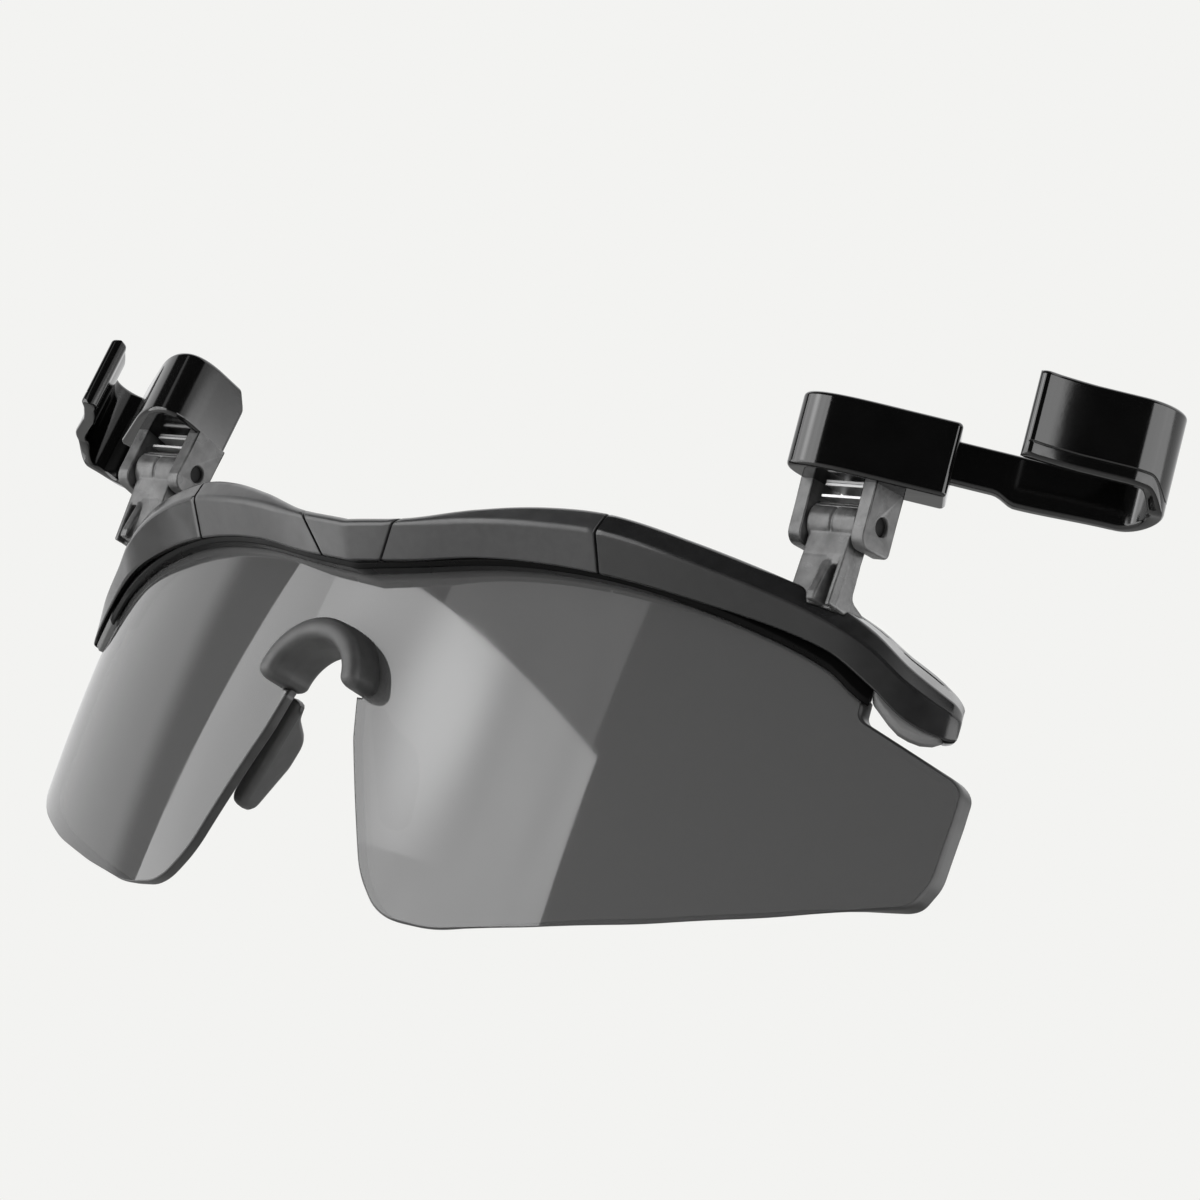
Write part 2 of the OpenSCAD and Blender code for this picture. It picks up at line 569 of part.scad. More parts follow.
module return_spring_at(lean) {
    steps = 14 * spring_turns;
    rings = [for (i = [0:steps]) let(p = coil_point(i / steps), a = 360 * spring_turns * i / steps,
        radial = [0, cos(a), sin(a)], along = [1, 0, 0])
        [for (k = [0:5]) p + spring_wire / 2 * (cos(60 * k) * radial + sin(60 * k) * along)]];
    color("silver") at_hinge(lean) along_bar() loft(rings);
}

// Outline of the hook's strip in plan: the bar, the turn and the wall
module hook_plan() {
    r_in = turn_r - hook_t;
    mid = (bar_back - hook_front) / 2;
    translate([bar_inner, bar_inset]) square([turn_x - bar_inner, bar_t]);
    translate([hook_x + flare_len, -hook_front]) square([turn_x - hook_x - flare_len, hook_t]);
    polygon([[hook_x + 1.1, -hook_front - flare], [hook_x + flare_len, -hook_front],
        [hook_x + flare_len, -hook_front + hook_t], [hook_x + 1.1, -hook_front + hook_t - flare]]);
    translate([hook_x + 1.1, -hook_front - flare + hook_t / 2]) circle(r = hook_t / 2 + 0.2, $fn = 32);
    intersection() {
        translate([turn_x, mid]) difference() {
            circle(r = turn_r, $fn = 96);
            circle(r = r_in, $fn = 96);
        }
        translate([turn_x, mid - turn_r - past]) square([turn_r + past, 2 * turn_r + 2 * past]);
    }
}

// Side view of the hook's bar part: x along the bar, z up
bar_side = rounded([[bar_inner - past, bar_low, 0], [hook_x - 1.5, bar_low, 2], [hook_x + 0.4, bar_low - 1, 2],
    [turn_x - 1, bar_low - 0.6, 8], [turn_x + turn_r * 0.8, bar_low + 0.2, 4], [turn_x + turn_r + past, bar_low + 2.4, 2],
    [turn_x + turn_r + past, wall_low + hook_h, 0], [turn_x + 1, wall_low + hook_h, 2],
    [turn_x - 4, bar_low + bar_h, 2], [bar_inner - past, bar_low + bar_h, 0]]);
// Side view of the hook's wall part
wall_side = rounded([[hook_x - past, wall_low, 0], [turn_x + turn_r * 0.6, wall_low, 1.5],
    [turn_x + turn_r * 0.82, bar_low + 0.25, 1.5], [turn_x + turn_r + past, bar_low + 2.4, 1.5],
    [turn_x + turn_r + past, wall_low + hook_h, 0], [hook_x - past, wall_low + hook_h, 0]]);

module clip_hook_at(lean) {
    split = (bar_back - hook_front) / 2;
    color([0.03, 0.03, 0.03]) at_hinge(lean) along_bar() difference() {
        intersection() {
            translate([0, 0, bar_low - 4]) linear_extrude(hook_h + hook_rise + 8) hook_plan();
            union() {
                translate([0, bar_back + past, 0]) rotate([90, 0, 0])
                    linear_extrude(bar_back + past - split) polygon(bar_side);
                translate([0, split, 0]) rotate([90, 0, 0])
                    linear_extrude(split + hook_front + past) polygon(wall_side);
            }
        }
        translate([window_in, bar_inset - past, bar_low + (bar_h - window_h) / 2])
            cube([window_out - window_in, bar_t + 2 * past, window_h]);
    }
}

lens_shield();
brow_frame();
centre_cover();
inner_cover();  // inner_cover_left
on_right() inner_cover();  // inner_cover_right
outer_cover();  // outer_cover_left
on_right() outer_cover();  // outer_cover_right
temple_tab();  // temple_tab_left
on_right() temple_tab();  // temple_tab_right
nose_bridge();
nose_pad();  // nose_pad_left
on_right() nose_pad();  // nose_pad_right
hinge_post();  // hinge_post_left
on_right() hinge_post();  // hinge_post_right
post_screw();  // post_screw_left
on_right() post_screw();  // post_screw_right
clip_housing_at(lean_left);  // clip_housing_left
on_right() clip_housing_at(lean_right);  // clip_housing_right
housing_cover_at(lean_left);  // housing_cover_left
on_right() housing_cover_at(lean_right);  // housing_cover_right
cover_screws_at(lean_left);  // cover_screws_left
on_right() cover_screws_at(lean_right);  // cover_screws_right
hinge_pin_at(lean_left);  // hinge_pin_left
on_right() hinge_pin_at(lean_right);  // hinge_pin_right
detent_spring_at(lean_left);  // detent_spring_left
on_right() detent_spring_at(lean_right);  // detent_spring_right
clip_hook_at(lean_left);  // clip_hook_left
on_right() clip_hook_at(lean_right);  // clip_hook_right
return_spring_at(lean_left);  // return_spring_left
on_right() return_spring_at(lean_right);  // return_spring_right
travel_stop_at(lean_left);  // travel_stop_left
on_right() travel_stop_at(lean_right);  // travel_stop_right
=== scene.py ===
"""Cap clip-on sunglasses: a smoked shield lens under a brow frame, with two hinged
clips whose sliding hooks hold the side edges of a cap's brim.

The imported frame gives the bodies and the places. Each class builds the visible meshes
of one sub-assembly in millimetres and hands them over in metres.
"""

import json
import logging
import math
from dataclasses import dataclass, field
from enum import Enum
from typing import Callable, Iterable, Sequence

import bmesh
import bpy
from mathutils import Matrix, Vector
from mathutils.geometry import delaunay_2d_cdt, tessellate_polygon

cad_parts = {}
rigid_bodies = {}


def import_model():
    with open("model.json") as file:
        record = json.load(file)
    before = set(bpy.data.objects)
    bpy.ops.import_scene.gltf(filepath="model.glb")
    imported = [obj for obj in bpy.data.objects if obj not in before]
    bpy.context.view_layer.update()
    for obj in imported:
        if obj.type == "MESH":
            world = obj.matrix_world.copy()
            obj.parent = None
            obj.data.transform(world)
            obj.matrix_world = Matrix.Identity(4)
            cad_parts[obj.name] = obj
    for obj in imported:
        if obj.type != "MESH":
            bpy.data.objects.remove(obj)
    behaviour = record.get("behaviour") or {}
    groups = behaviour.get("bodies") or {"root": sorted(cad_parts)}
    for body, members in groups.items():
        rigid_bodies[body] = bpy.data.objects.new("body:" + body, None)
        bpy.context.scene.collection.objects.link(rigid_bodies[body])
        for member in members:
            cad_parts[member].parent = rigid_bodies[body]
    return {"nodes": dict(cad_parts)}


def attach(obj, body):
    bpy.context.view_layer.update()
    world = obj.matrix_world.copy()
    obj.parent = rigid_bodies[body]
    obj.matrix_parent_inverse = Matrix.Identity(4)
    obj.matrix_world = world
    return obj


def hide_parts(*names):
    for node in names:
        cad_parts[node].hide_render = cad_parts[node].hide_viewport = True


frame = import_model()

LOG = logging.getLogger("sunglasses")
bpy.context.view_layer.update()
MM = 0.001
MERGED = 1e-4  # mm under which a shape's vertices become one
TOUCHING = 1e-5  # mm under which two points of an outline count as one

Point2 = tuple[float, float]
Table = Sequence[Point2]
Ring = list[Vector]
Colour = tuple[float, float, float]
Object = bpy.types.Object
Material = bpy.types.Material
Socket = bpy.types.NodeSocket
Inputs = dict[str | int, object]


class Side(Enum):
    """The wearer's side that a piece is on, with its sign along X."""

    LEFT = ("left", 1)
    RIGHT = ("right", -1)

    @property
    def word(self) -> str:
        """Return the side's word in piece and body names."""
        return self.value[0]

    @property
    def mirror(self) -> Matrix:
        """Return the matrix that takes a left piece to this side."""
        return Matrix.Diagonal((self.value[1], 1, 1, 1))


# Numbers and outlines


def between(a: float, b: float, t: float) -> float:
    """Return the value a fraction t of the way from a to b."""
    return a + (b - a) * t


def mix(p: Point2, q: Point2, t: float) -> Point2:
    """Return the point a fraction t of the way from p to q."""
    return between(p[0], q[0], t), between(p[1], q[1], t)


def spaced(start: float, stop: float, count: int) -> list[float]:
    """Return count + 1 even places from start to stop."""
    return [start + (stop - start) * k / count for k in range(count + 1)]


def ease(x: float, low: float, high: float) -> float:
    """Return a smooth step from 0 at low to 1 at high."""
    t = max(0.0, min(1.0, (x - low) / (high - low)))
    return t * t * (3 - 2 * t)


def curve_at(table: Table, x: float) -> float:
    """Read a smooth curve through a table's points.

    Args:
        table: Points (x, value) in rising x.
        x: Place to read at, clamped to the table's ends; its sign is ignored.

    Returns:
        The curve's value.
    """
    u = max(table[0][0], min(abs(x), table[-1][0]))
    i = 0
    while i < len(table) - 2 and u >= table[i + 1][0]:
        i += 1

    def slope(k: int) -> float:
        """Return the curve's slope at point k."""
        a, b = table[min(k + 1, len(table) - 1)], table[max(k - 1, 0)]
        return (a[1] - b[1]) / (a[0] - b[0])

    w = table[i + 1][0] - table[i][0]
    s = (u - table[i][0]) / w
    return ((2 * s**3 - 3 * s**2 + 1) * table[i][1] + (s**3 - 2 * s**2 + s) * w * slope(i)
            + (3 * s**2 - 2 * s**3) * table[i + 1][1] + (s**3 - s**2) * w * slope(i + 1))


def polar(radius: float, angle: float) -> Point2:
    """Return the point at a radius and an angle in radians."""
    return radius * math.cos(angle), radius * math.sin(angle)


def circle(radius: float, count: int, across: float = 0.0) -> list[Point2]:
    """Return a circle's points, anticlockwise, with the centre moved across along the first axis."""
    return [(across + x, y) for x, y in (polar(radius, a) for a in spaced(0, math.tau, count)[:-1])]


def rim_arc(radius: float, steps: int) -> list[Point2]:
    """Return how far a rounded rim draws in, with the depth, from its face to its side."""
    return [(radius * (1 - math.sin(a)), radius * (1 - math.cos(a))) for a in spaced(0, math.pi / 2, steps)]


def fillet(points: Sequence[Point2], radii: Sequence[float], steps: int = 4) -> list[Point2]:
    """Round each corner of a closed outline.

    Args:
        points: Corners in order.
        radii: Radius at each corner; a small one is used where a corner stays sharp.
        steps: Segments in each corner's arc.

    Returns:
        The outline, with steps + 1 points for every corner.
    """
    out: list[Point2] = []
    for i, (p, radius) in enumerate(zip(points, radii)):
        here = Vector(p)
        u, v = Vector(points[i - 1]) - here, Vector(points[(i + 1) % len(points)]) - here
        room = 0.45 * min(u.length, v.length)
        u.normalize()
        v.normalize()
        half = math.acos(max(-1.0, min(1.0, u.dot(v)))) / 2
        reach = min(max(radius, 1e-3) / max(math.tan(half), 1e-6), room)
        bisector = u + v
        if bisector.length < 1e-6:
            out += [(here + (v - u) * 0.5 * reach * t).to_tuple() for t in spaced(-1, 1, steps)]
            continue
        centre = here + bisector.normalized() * (reach * math.tan(half)) / math.sin(half)
        a, b = here + u * reach - centre, here + v * reach - centre
        for t in spaced(0, a.angle(b) if a.x * b.y - a.y * b.x > 0 else -a.angle(b), steps):
            out.append((centre.x + a.x * math.cos(t) - a.y * math.sin(t),
                        centre.y + a.x * math.sin(t) + a.y * math.cos(t)))
    return out


def inset(outline: Sequence[Point2], amount: float) -> list[Point2]:
    """Move a closed outline's points inwards along their mitred normals.

    Args:
        outline: Points in order, either way round.
        amount: Distance to move; a negative one moves outwards.

    Returns:
        The moved outline.
    """
    n = len(outline)
    points = [Vector(p) for p in outline]
    area = sum(outline[i - 1][0] * outline[i][1] - outline[i][0] * outline[i - 1][1] for i in range(n))
    side = 1 if area > 0 else -1
    out = []
    for i, p in enumerate(points):
        mitre = Vector((0.0, 0.0))
        for way in (-1, 1):
            k = way
            while (points[(i + k) % n] - p).length < TOUCHING and abs(k) < n:
                k += way
            edge = ((points[(i + k) % n] - p) * way).normalized()
            mitre += Vector((-edge.y, edge.x)) * side
        scale = 2 / max(mitre.dot(mitre), 0.8)
        out.append((p.x + mitre.x * scale * amount, p.y + mitre.y * scale * amount))
    return out


# Shapes


def turned(degrees: float, axis: str) -> Matrix:
    """Return the matrix that turns a shape about an axis."""
    return Matrix.Rotation(math.radians(degrees), 4, axis)


def new_object(name: str, data: bpy.types.ID) -> Object:
    """Make an object and link it to the scene.

    Args:
        name: The object's name.
        data: Its mesh or camera.

    Returns:
        The object.
    """
    obj = bpy.data.objects.new(name, data)
    bpy.context.scene.collection.objects.link(obj)
    return obj


@dataclass
class Shape:
    """Vertices and faces in millimetres, each face with its finish's number (0 unless stated)."""

    verts: list[Vector] = field(default_factory=list)
    faces: list[list[int]] = field(default_factory=list)
    finish: list[int] = field(default_factory=list)

    def __post_init__(self) -> None:
        """Give every face finish 0 where none is stated."""
        self.finish = self.finish or [0] * len(self.faces)

    def add(self, other: "Shape", finish: int | None = None) -> "Shape":
        """Join another shape to this one.

        Args:
            other: Shape to join.
            finish: Finish number for its faces, or None to keep its own.

        Returns:
            This shape.
        """
        base = len(self.verts)
        self.verts += other.verts
        self.faces += [[i + base for i in f] for f in other.faces]
        self.finish += other.finish if finish is None else [finish] * len(other.faces)
        return self

    def moved(self, matrix: Matrix) -> "Shape":
        """Return a copy of the shape, moved by a matrix."""
        return Shape([matrix @ v for v in self.verts], list(self.faces), list(self.finish))

    def to_object(self, name: str) -> Object:
        """Make an object of the shape, still in millimetres, with its faces outwards.

        Args:
            name: The object's name.

        Returns:
            The object.
        """
        mesh = bpy.data.meshes.new(name)
        mesh.from_pydata([v.to_tuple() for v in self.verts], [], self.faces)
        for polygon, number in zip(mesh.polygons, self.finish):
            polygon.material_index = number
        bm = bmesh.new()
        bm.from_mesh(mesh)
        bmesh.ops.remove_doubles(bm, verts=bm.verts, dist=MERGED)
        bmesh.ops.dissolve_degenerate(bm, dist=MERGED, edges=bm.edges)
        bmesh.ops.delete(bm, geom=[v for v in bm.verts if not v.link_faces], context="VERTS")
        bmesh.ops.recalc_face_normals(bm, faces=bm.faces)
        bm.to_mesh(mesh)
        bm.free()
        return new_object(name, mesh)


def cap(loops: Sequence[Ring], base: int = 0) -> list[list[int]]:
    """Return triangles that fill a flat loop with holes, whose first vertex has the index base."""
    return [[base + i for i in tri] for tri in tessellate_polygon([list(loop) for loop in loops])]


def loft(rings: Sequence[Ring], capped: bool = True) -> Shape:
    """Skin equal rings of points in order, and close both ends.

    Args:
        rings: Rings with the same number of points.
        capped: Whether to fill the first and last ring.

    Returns:
        The skinned shape.
    """
    n = len(rings[0])
    faces = [[i * n + j, i * n + (j + 1) % n, (i + 1) * n + (j + 1) % n, (i + 1) * n + j]
             for i in range(len(rings) - 1) for j in range(n)]
    if capped:
        faces += cap([rings[0]]) + cap([rings[-1]], (len(rings) - 1) * n)
    return Shape([v for ring in rings for v in ring], faces)


def prism(outline: Sequence[Point2], low: float, high: float, edge: float,
          holes: Sequence[Sequence[Point2]] = (), steps: int = 3) -> Shape:
    """Extrude an outline along Z with rounded rims, and with holes through it.

    Args:
        outline: Closed outline in X and Y.
        low: Lower height.
        high: Upper height.
        edge: Radius of the rims.
        holes: Outlines of the holes, anticlockwise.
        steps: Segments in each rim's arc.

    Returns:
        The extruded shape.
    """
    rim = rim_arc(edge, steps)
    stations = [(i, low + z) for i, z in rim] + [(i, high - z) for i, z in reversed(rim)]
    shape = Shape()
    ends: list[list[Ring]] = [[], []]
    for sign, loop in [(1, outline), *((-1, hole) for hole in holes)]:
        rings = [[Vector((*p, z)) for p in inset(loop, sign * i)] for i, z in stations]
        shape.add(loft(rings, capped=False))
        ends[0].append(rings[0])
        ends[1].append(rings[-1])
    for loops in ends:
        shape.add(Shape([v for loop in loops for v in loop], cap(loops)))
    return shape


def block(low: Sequence[float], high: Sequence[float]) -> Shape:
    """Return a box between two corners."""
    corners = [(low[0], low[1]), (high[0], low[1]), (high[0], high[1]), (low[0], high[1])]
    return loft([[Vector((*p, z)) for p in corners] for z in (low[2], high[2])])


def along_x(outline: Sequence[Point2], low: float, high: float, edge: float,
            holes: Sequence[Sequence[Point2]] = ()) -> Shape:
    """Extrude an outline given in Y and Z along X, with rounded rims."""
    turn = Matrix(((0, 0, 1, 0), (1, 0, 0, 0), (0, 1, 0, 0), (0, 0, 0, 1)))
    return prism(outline, low, high, edge, holes).moved(turn)


def bake(obj: Object) -> Object:
    """Turn an object's modifiers into a plain mesh.

    Args:
        obj: Object with modifiers.

    Returns:
        The same object, with its evaluated mesh and no modifiers.
    """
    bpy.context.view_layer.update()
    mesh = bpy.data.meshes.new_from_object(obj.evaluated_get(bpy.context.evaluated_depsgraph_get()))
    old = obj.data
    obj.modifiers.clear()
    obj.data = mesh
    mesh.name = obj.name
    bpy.data.meshes.remove(old)
    return obj


def cut(obj: Object, cutters: Iterable[Shape]) -> Object:
    """Cut shapes out of an object.

    Args:
        obj: Object to cut.
        cutters: Closed shapes to take away.

    Returns:
        The same object, cut.
    """
    for shape in cutters:
        tool = shape.to_object("cutter")
        modifier = obj.modifiers.new("cut", "BOOLEAN")
        modifier.operation, modifier.solver, modifier.object = "DIFFERENCE", "EXACT", tool
        bake(obj)
        bpy.data.meshes.remove(tool.data)
    return obj


def fuse(obj: Object, voxel: float, passes: int) -> Object:
    """Melt an object's overlapping shells into one softened skin.

    Args:
        obj: Object of closed shells in millimetres.
        voxel: Size of the remesh's voxels.
        passes: Smoothing passes, which round the edges.

    Returns:
        The same object, fused.
    """
    remesh = obj.modifiers.new("fuse", "REMESH")
    remesh.mode, remesh.voxel_size = "VOXEL", voxel
    soften = obj.modifiers.new("soften", "SMOOTH")
    soften.factor, soften.iterations = 0.5, passes
    return bake(obj)


# Nodes


class Nodes:
    """A node tree, with short ways to add nodes that are already joined."""

    def __init__(self, tree: bpy.types.NodeTree) -> None:
        """Take the tree that the nodes go into."""
        self.tree = tree

    def feed(self, node: bpy.types.Node, inputs: Inputs) -> None:
        """Join a socket to each named input of a node, or set a constant on it.

        Args:
            node: The node.
            inputs: Socket or constant for each input.
        """
        for key, value in inputs.items():
            if isinstance(value, Socket):
                self.tree.links.new(value, node.inputs[key])
            else:
                node.inputs[key].default_value = value

    def node(self, kind: str, inputs: Inputs | None = None, **settings: object) -> bpy.types.Node:
        """Add a node.

        Args:
            kind: Name of the node's type.
            inputs: Socket or constant for each input.
            settings: Plain properties of the node.

        Returns:
            The node.
        """
        made = self.tree.nodes.new(kind)
        for key, value in settings.items():
            setattr(made, key, value)
        self.feed(made, inputs or {})
        return made

    def value(self, kind: str, inputs: Inputs | None = None, output: str | int = 0,
              **settings: object) -> Socket:
        """Add a node and return one of its outputs."""
        return self.node(kind, inputs, **settings).outputs[output]

    def maths(self, operation: str, *values: object) -> Socket:
        """Return the result of a Math node."""
        return self.value("ShaderNodeMath", dict(enumerate(values)), operation=operation)

    def spread(self, value: Socket, low: float, high: float, start: float = 0.3, stop: float = 0.7,
               kind: str = "LINEAR") -> Socket:
        """Map a value's range from start to stop onto low to high."""
        return self.value("ShaderNodeMapRange", {"Value": value, "From Min": start, "From Max": stop,
                                                 "To Min": low, "To Max": high}, interpolation_type=kind)


def bare(owner: Material | bpy.types.World) -> Nodes:
    """Empty the node tree of a material or a world.

    Args:
        owner: The material or world.

    Returns:
        Its nodes.
    """
    owner.use_nodes = True
    owner.node_tree.nodes.clear()
    return Nodes(owner.node_tree)


class GeometryTree(Nodes):
    """A Geometry Nodes tree that repeats the mesh of the object that it runs on."""

    def __init__(self, name: str, **kinds: str) -> None:
        """Start a tree with its inputs.

        Args:
            name: The tree's name.
            kinds: Kind of each named input besides the geometry and the material.
        """
        super().__init__(bpy.data.node_groups.new(name, "GeometryNodeTree"))
        face = self.tree.interface
        face.new_socket("Geometry", in_out="OUTPUT", socket_type="NodeSocketGeometry")
        self.ids = {key: face.new_socket(key, in_out="INPUT", socket_type=f"NodeSocket{kind}").identifier
                    for key, kind in {"Geometry": "Geometry", "Material": "Material", **kinds}.items()}
        self.given = self.node("NodeGroupInput").outputs

    def repeat(self, points: Socket, **more: Socket) -> "GeometryTree":
        """Put the mesh on points, and finish with Realize Instances and Set Material.

        Args:
            points: The points.
            more: Socket for further inputs of the instances.

        Returns:
            This tree.
        """
        mesh, material = self.given["Geometry"], self.given["Material"]
        copies = self.value("GeometryNodeInstanceOnPoints", {"Points": points, "Instance": mesh, **more})
        real = self.value("GeometryNodeRealizeInstances", {"Geometry": copies})
        painted = self.value("GeometryNodeSetMaterial", {"Geometry": real, "Material": material})
        self.node("NodeGroupOutput", {"Geometry": painted})
        return self

    def run(self, obj: Object, **values: object) -> Object:
        """Run the tree on an object and keep the plain mesh.

        Args:
            obj: Object whose mesh is the tree's input.
            values: Value for each named input.

        Returns:
            The same object with the made mesh.
        """
        modifier = obj.modifiers.new(self.tree.name, "NODES")
        modifier.node_group = self.tree
        for name, value in values.items():
            modifier[self.ids[name]] = value
        return bake(obj)


def rib_tree() -> GeometryTree:
    """Make the tree that repeats a rib round the X axis.

    Returns:
        The tree.
    """
    tree = GeometryTree("knuckle_ribs", Count="Int", First="Float", Step="Float")
    points = tree.value("GeometryNodePoints", {"Count": tree.given["Count"]})
    index = tree.value("GeometryNodeInputIndex")
    angle = tree.maths("MULTIPLY_ADD", index, tree.given["Step"], tree.given["First"])
    return tree.repeat(points, Rotation=tree.value("ShaderNodeCombineXYZ", {"X": angle}))


def row_tree() -> GeometryTree:
    """Make the tree that repeats a fastener from a first place to a last one.

    Returns:
        The tree.
    """
    tree = GeometryTree("fastener_row", Count="Int", First="Vector", Last="Vector")
    given = tree.given
    inputs = {"Count": given["Count"], "Start Location": given["First"], "Offset": given["Last"]}
    return tree.repeat(tree.value("GeometryNodeMeshLine", inputs, mode="END_POINTS"))


# Finishes


class Painter(Nodes):
    """The nodes of one material on Object coordinates, with a Principled surface."""

    def __init__(self, name: str) -> None:
        """Start the material.

        Args:
            name: The material's name.
        """
        self.material = bpy.data.materials.new(name)
        self.material.use_nodes = True
        super().__init__(self.material.node_tree)
        self.shader = next(n for n in self.tree.nodes if n.type == "BSDF_PRINCIPLED")
        self.coords = self.value("ShaderNodeTexCoord", output="Object")

    def noise(self, scale: float, detail: float, stretch: Sequence[float] = (1, 1, 1)) -> Socket:
        """Return noise with features about 1/scale metres across."""
        place = self.value("ShaderNodeMapping", {"Vector": self.coords, "Scale": tuple(stretch)})
        return self.value("ShaderNodeTexNoise", {"Vector": place, "Scale": scale, "Detail": detail})

    def tint(self, value: Socket, dark: Colour, light: Colour) -> Socket:
        """Mix two colours by a value from 0 to 1.

        Args:
            value: The value.
            dark: Colour at 0.
            light: Colour at 1.

        Returns:
            The mixed colour.
        """
        inputs = {"A": (*dark, 1), "B": (*light, 1), "Factor": value}
        node = self.node("ShaderNodeMix", inputs, data_type="RGBA")
        return next(o for o in node.outputs if o.type == "RGBA")

    def finished(self, height: Socket, strength: float, depth: float, **inputs: object) -> Material:
        """Set the surface's inputs and a bump, and return the material.

        Args:
            height: Height of the bump from 0 to 1.
            strength: Strength of the bump.
            depth: Depth of the bump in metres.
            inputs: Socket or constant for each input of the surface, with _ for a space.

        Returns:
            The material.
        """
        normal = self.value("ShaderNodeBump", {"Strength": strength, "Distance": depth, "Height": height})
        self.feed(self.shader, {"Normal": normal, **{key.replace("_", " "): v for key, v in inputs.items()}})
        return self.material


def shade(colour: Colour, factor: float) -> Colour:
    """Return a colour made lighter or darker by a factor."""
    return tuple(min(1.0, c * factor) for c in colour)


@dataclass(frozen=True)
class MouldedPlastic:
    """Moulded or painted plastic with grain, cloudy gloss and fine relief."""

    name: str
    colour: Colour
    mottle: float
    mottle_scale: float
    roughness: float
    cloud: float
    grain_scale: float
    grain_depth: float
    gloss: float = 0.5

    def build(self) -> Material:
        """Make the finish's material.

        Returns:
            The material.
        """
        paint = Painter(self.name)
        blotch = paint.spread(paint.noise(self.mottle_scale, 5.0), 0.0, 1.0)
        haze = paint.noise(self.mottle_scale * 0.37, 2.0)
        dark, light = shade(self.colour, 1 - self.mottle), shade(self.colour, 1 + self.mottle)
        return paint.finished(
            paint.noise(self.grain_scale, 2.0), 0.35, self.grain_depth, Specular_IOR_Level=self.gloss,
            Base_Color=paint.tint(blotch, dark, light),
            Roughness=paint.spread(haze, self.roughness - self.cloud, self.roughness + self.cloud))


@dataclass(frozen=True)
class DrawnMetal:
    """Plated metal with marks drawn along one axis."""

    name: str
    colour: Colour
    roughness: float
    stretch: tuple[float, float, float]

    def build(self) -> Material:
        """Make the finish's material.

        Returns:
            The material.
        """
        paint = Painter(self.name)
        streak = paint.spread(paint.noise(2600, 3.0, self.stretch), 0.0, 1.0)
        return paint.finished(
            streak, 0.2, 2e-6, Metallic=1.0,
            Base_Color=paint.tint(streak, shade(self.colour, 0.8), shade(self.colour, 1.15)),
            Roughness=paint.spread(streak, self.roughness * 0.8, self.roughness * 1.3, 0.0, 1.0))


@dataclass(frozen=True)
class SmokedLens:
    """Polished smoked polycarbonate, a little deeper in tint towards its top."""

    name: str
    low: Colour
    high: Colour
    alpha: float
    roughness: float

    def build(self) -> Material:
        """Make the finish's material.

        Returns:
            The material.
        """
        paint = Painter(self.name)
        height = paint.value("ShaderNodeSeparateXYZ", {0: paint.coords}, "Z")
        rise = paint.spread(height, 0.0, 1.0, -0.03, 0.016)
        return paint.finished(
            paint.noise(60, 1.0), 0.08, 2e-5, Alpha=self.alpha, IOR=1.58,
            Base_Color=paint.tint(rise, self.low, self.high),
            Roughness=paint.spread(paint.noise(90, 2.0), self.roughness * 0.6, self.roughness * 1.5))


class Finish(Enum):
    """The finishes on the object."""

    LENS = SmokedLens("smoked_lens", (0.060,) * 3, (0.052,) * 3, 0.86, 0.03)
    LENS_EDGE = MouldedPlastic("lens_edge", (0.013,) * 3, 0.30, 500, 0.38, 0.05, 3000, 6e-6)
    GLOSS_BLACK = MouldedPlastic("gloss_black", (0.0014,) * 3, 0.25, 260, 0.10, 0.03, 1500, 4e-6)
    LIP_BLACK = MouldedPlastic("lip_black", (0.0015,) * 3, 0.25, 300, 0.28, 0.04, 2400, 6e-6, 0.05)
    SATIN_GREY = MouldedPlastic("satin_grey", (0.022, 0.022, 0.0225), 0.16, 900, 0.34, 0.05, 5200, 9e-6)
    SATIN_DARK = MouldedPlastic("satin_dark", (0.009, 0.009, 0.0092), 0.18, 800, 0.21, 0.05, 5200, 6e-6, 0.42)
    TAB_GREY = MouldedPlastic("tab_grey", (0.044,) * 3, 0.12, 1100, 0.48, 0.06, 6000, 1.2e-5)
    MOTTLED_GREY = MouldedPlastic("mottled_grey", (0.052,) * 3, 0.55, 620, 0.32, 0.12, 1900, 2.6e-5)
    RUBBER = MouldedPlastic("soft_rubber", (0.028,) * 3, 0.14, 700, 0.50, 0.06, 3600, 1.6e-5)
    STEEL = DrawnMetal("plated_steel", (0.42, 0.42, 0.43), 0.28, (1, 1, 8))
    # Near-black steel on the hinge pin: painted shade of the hole in the lug around the pin's end.
    PIN_SHADE_STEEL = DrawnMetal("pin_steel_painted_shade", (0.012,) * 3, 0.50, (8, 1, 1))
    # Dark steel on the springs: painted shade of the recesses they sit in.
    SPRING_STEEL_PAINTED_SHADE = DrawnMetal("spring_steel", (0.05, 0.05, 0.052), 0.30, (1, 8, 1))

    def material(self) -> Material:
        """Return the finish's material, made once."""
        made = bpy.data.materials.get(self.value.name)
        return made if made is not None else self.value.build()


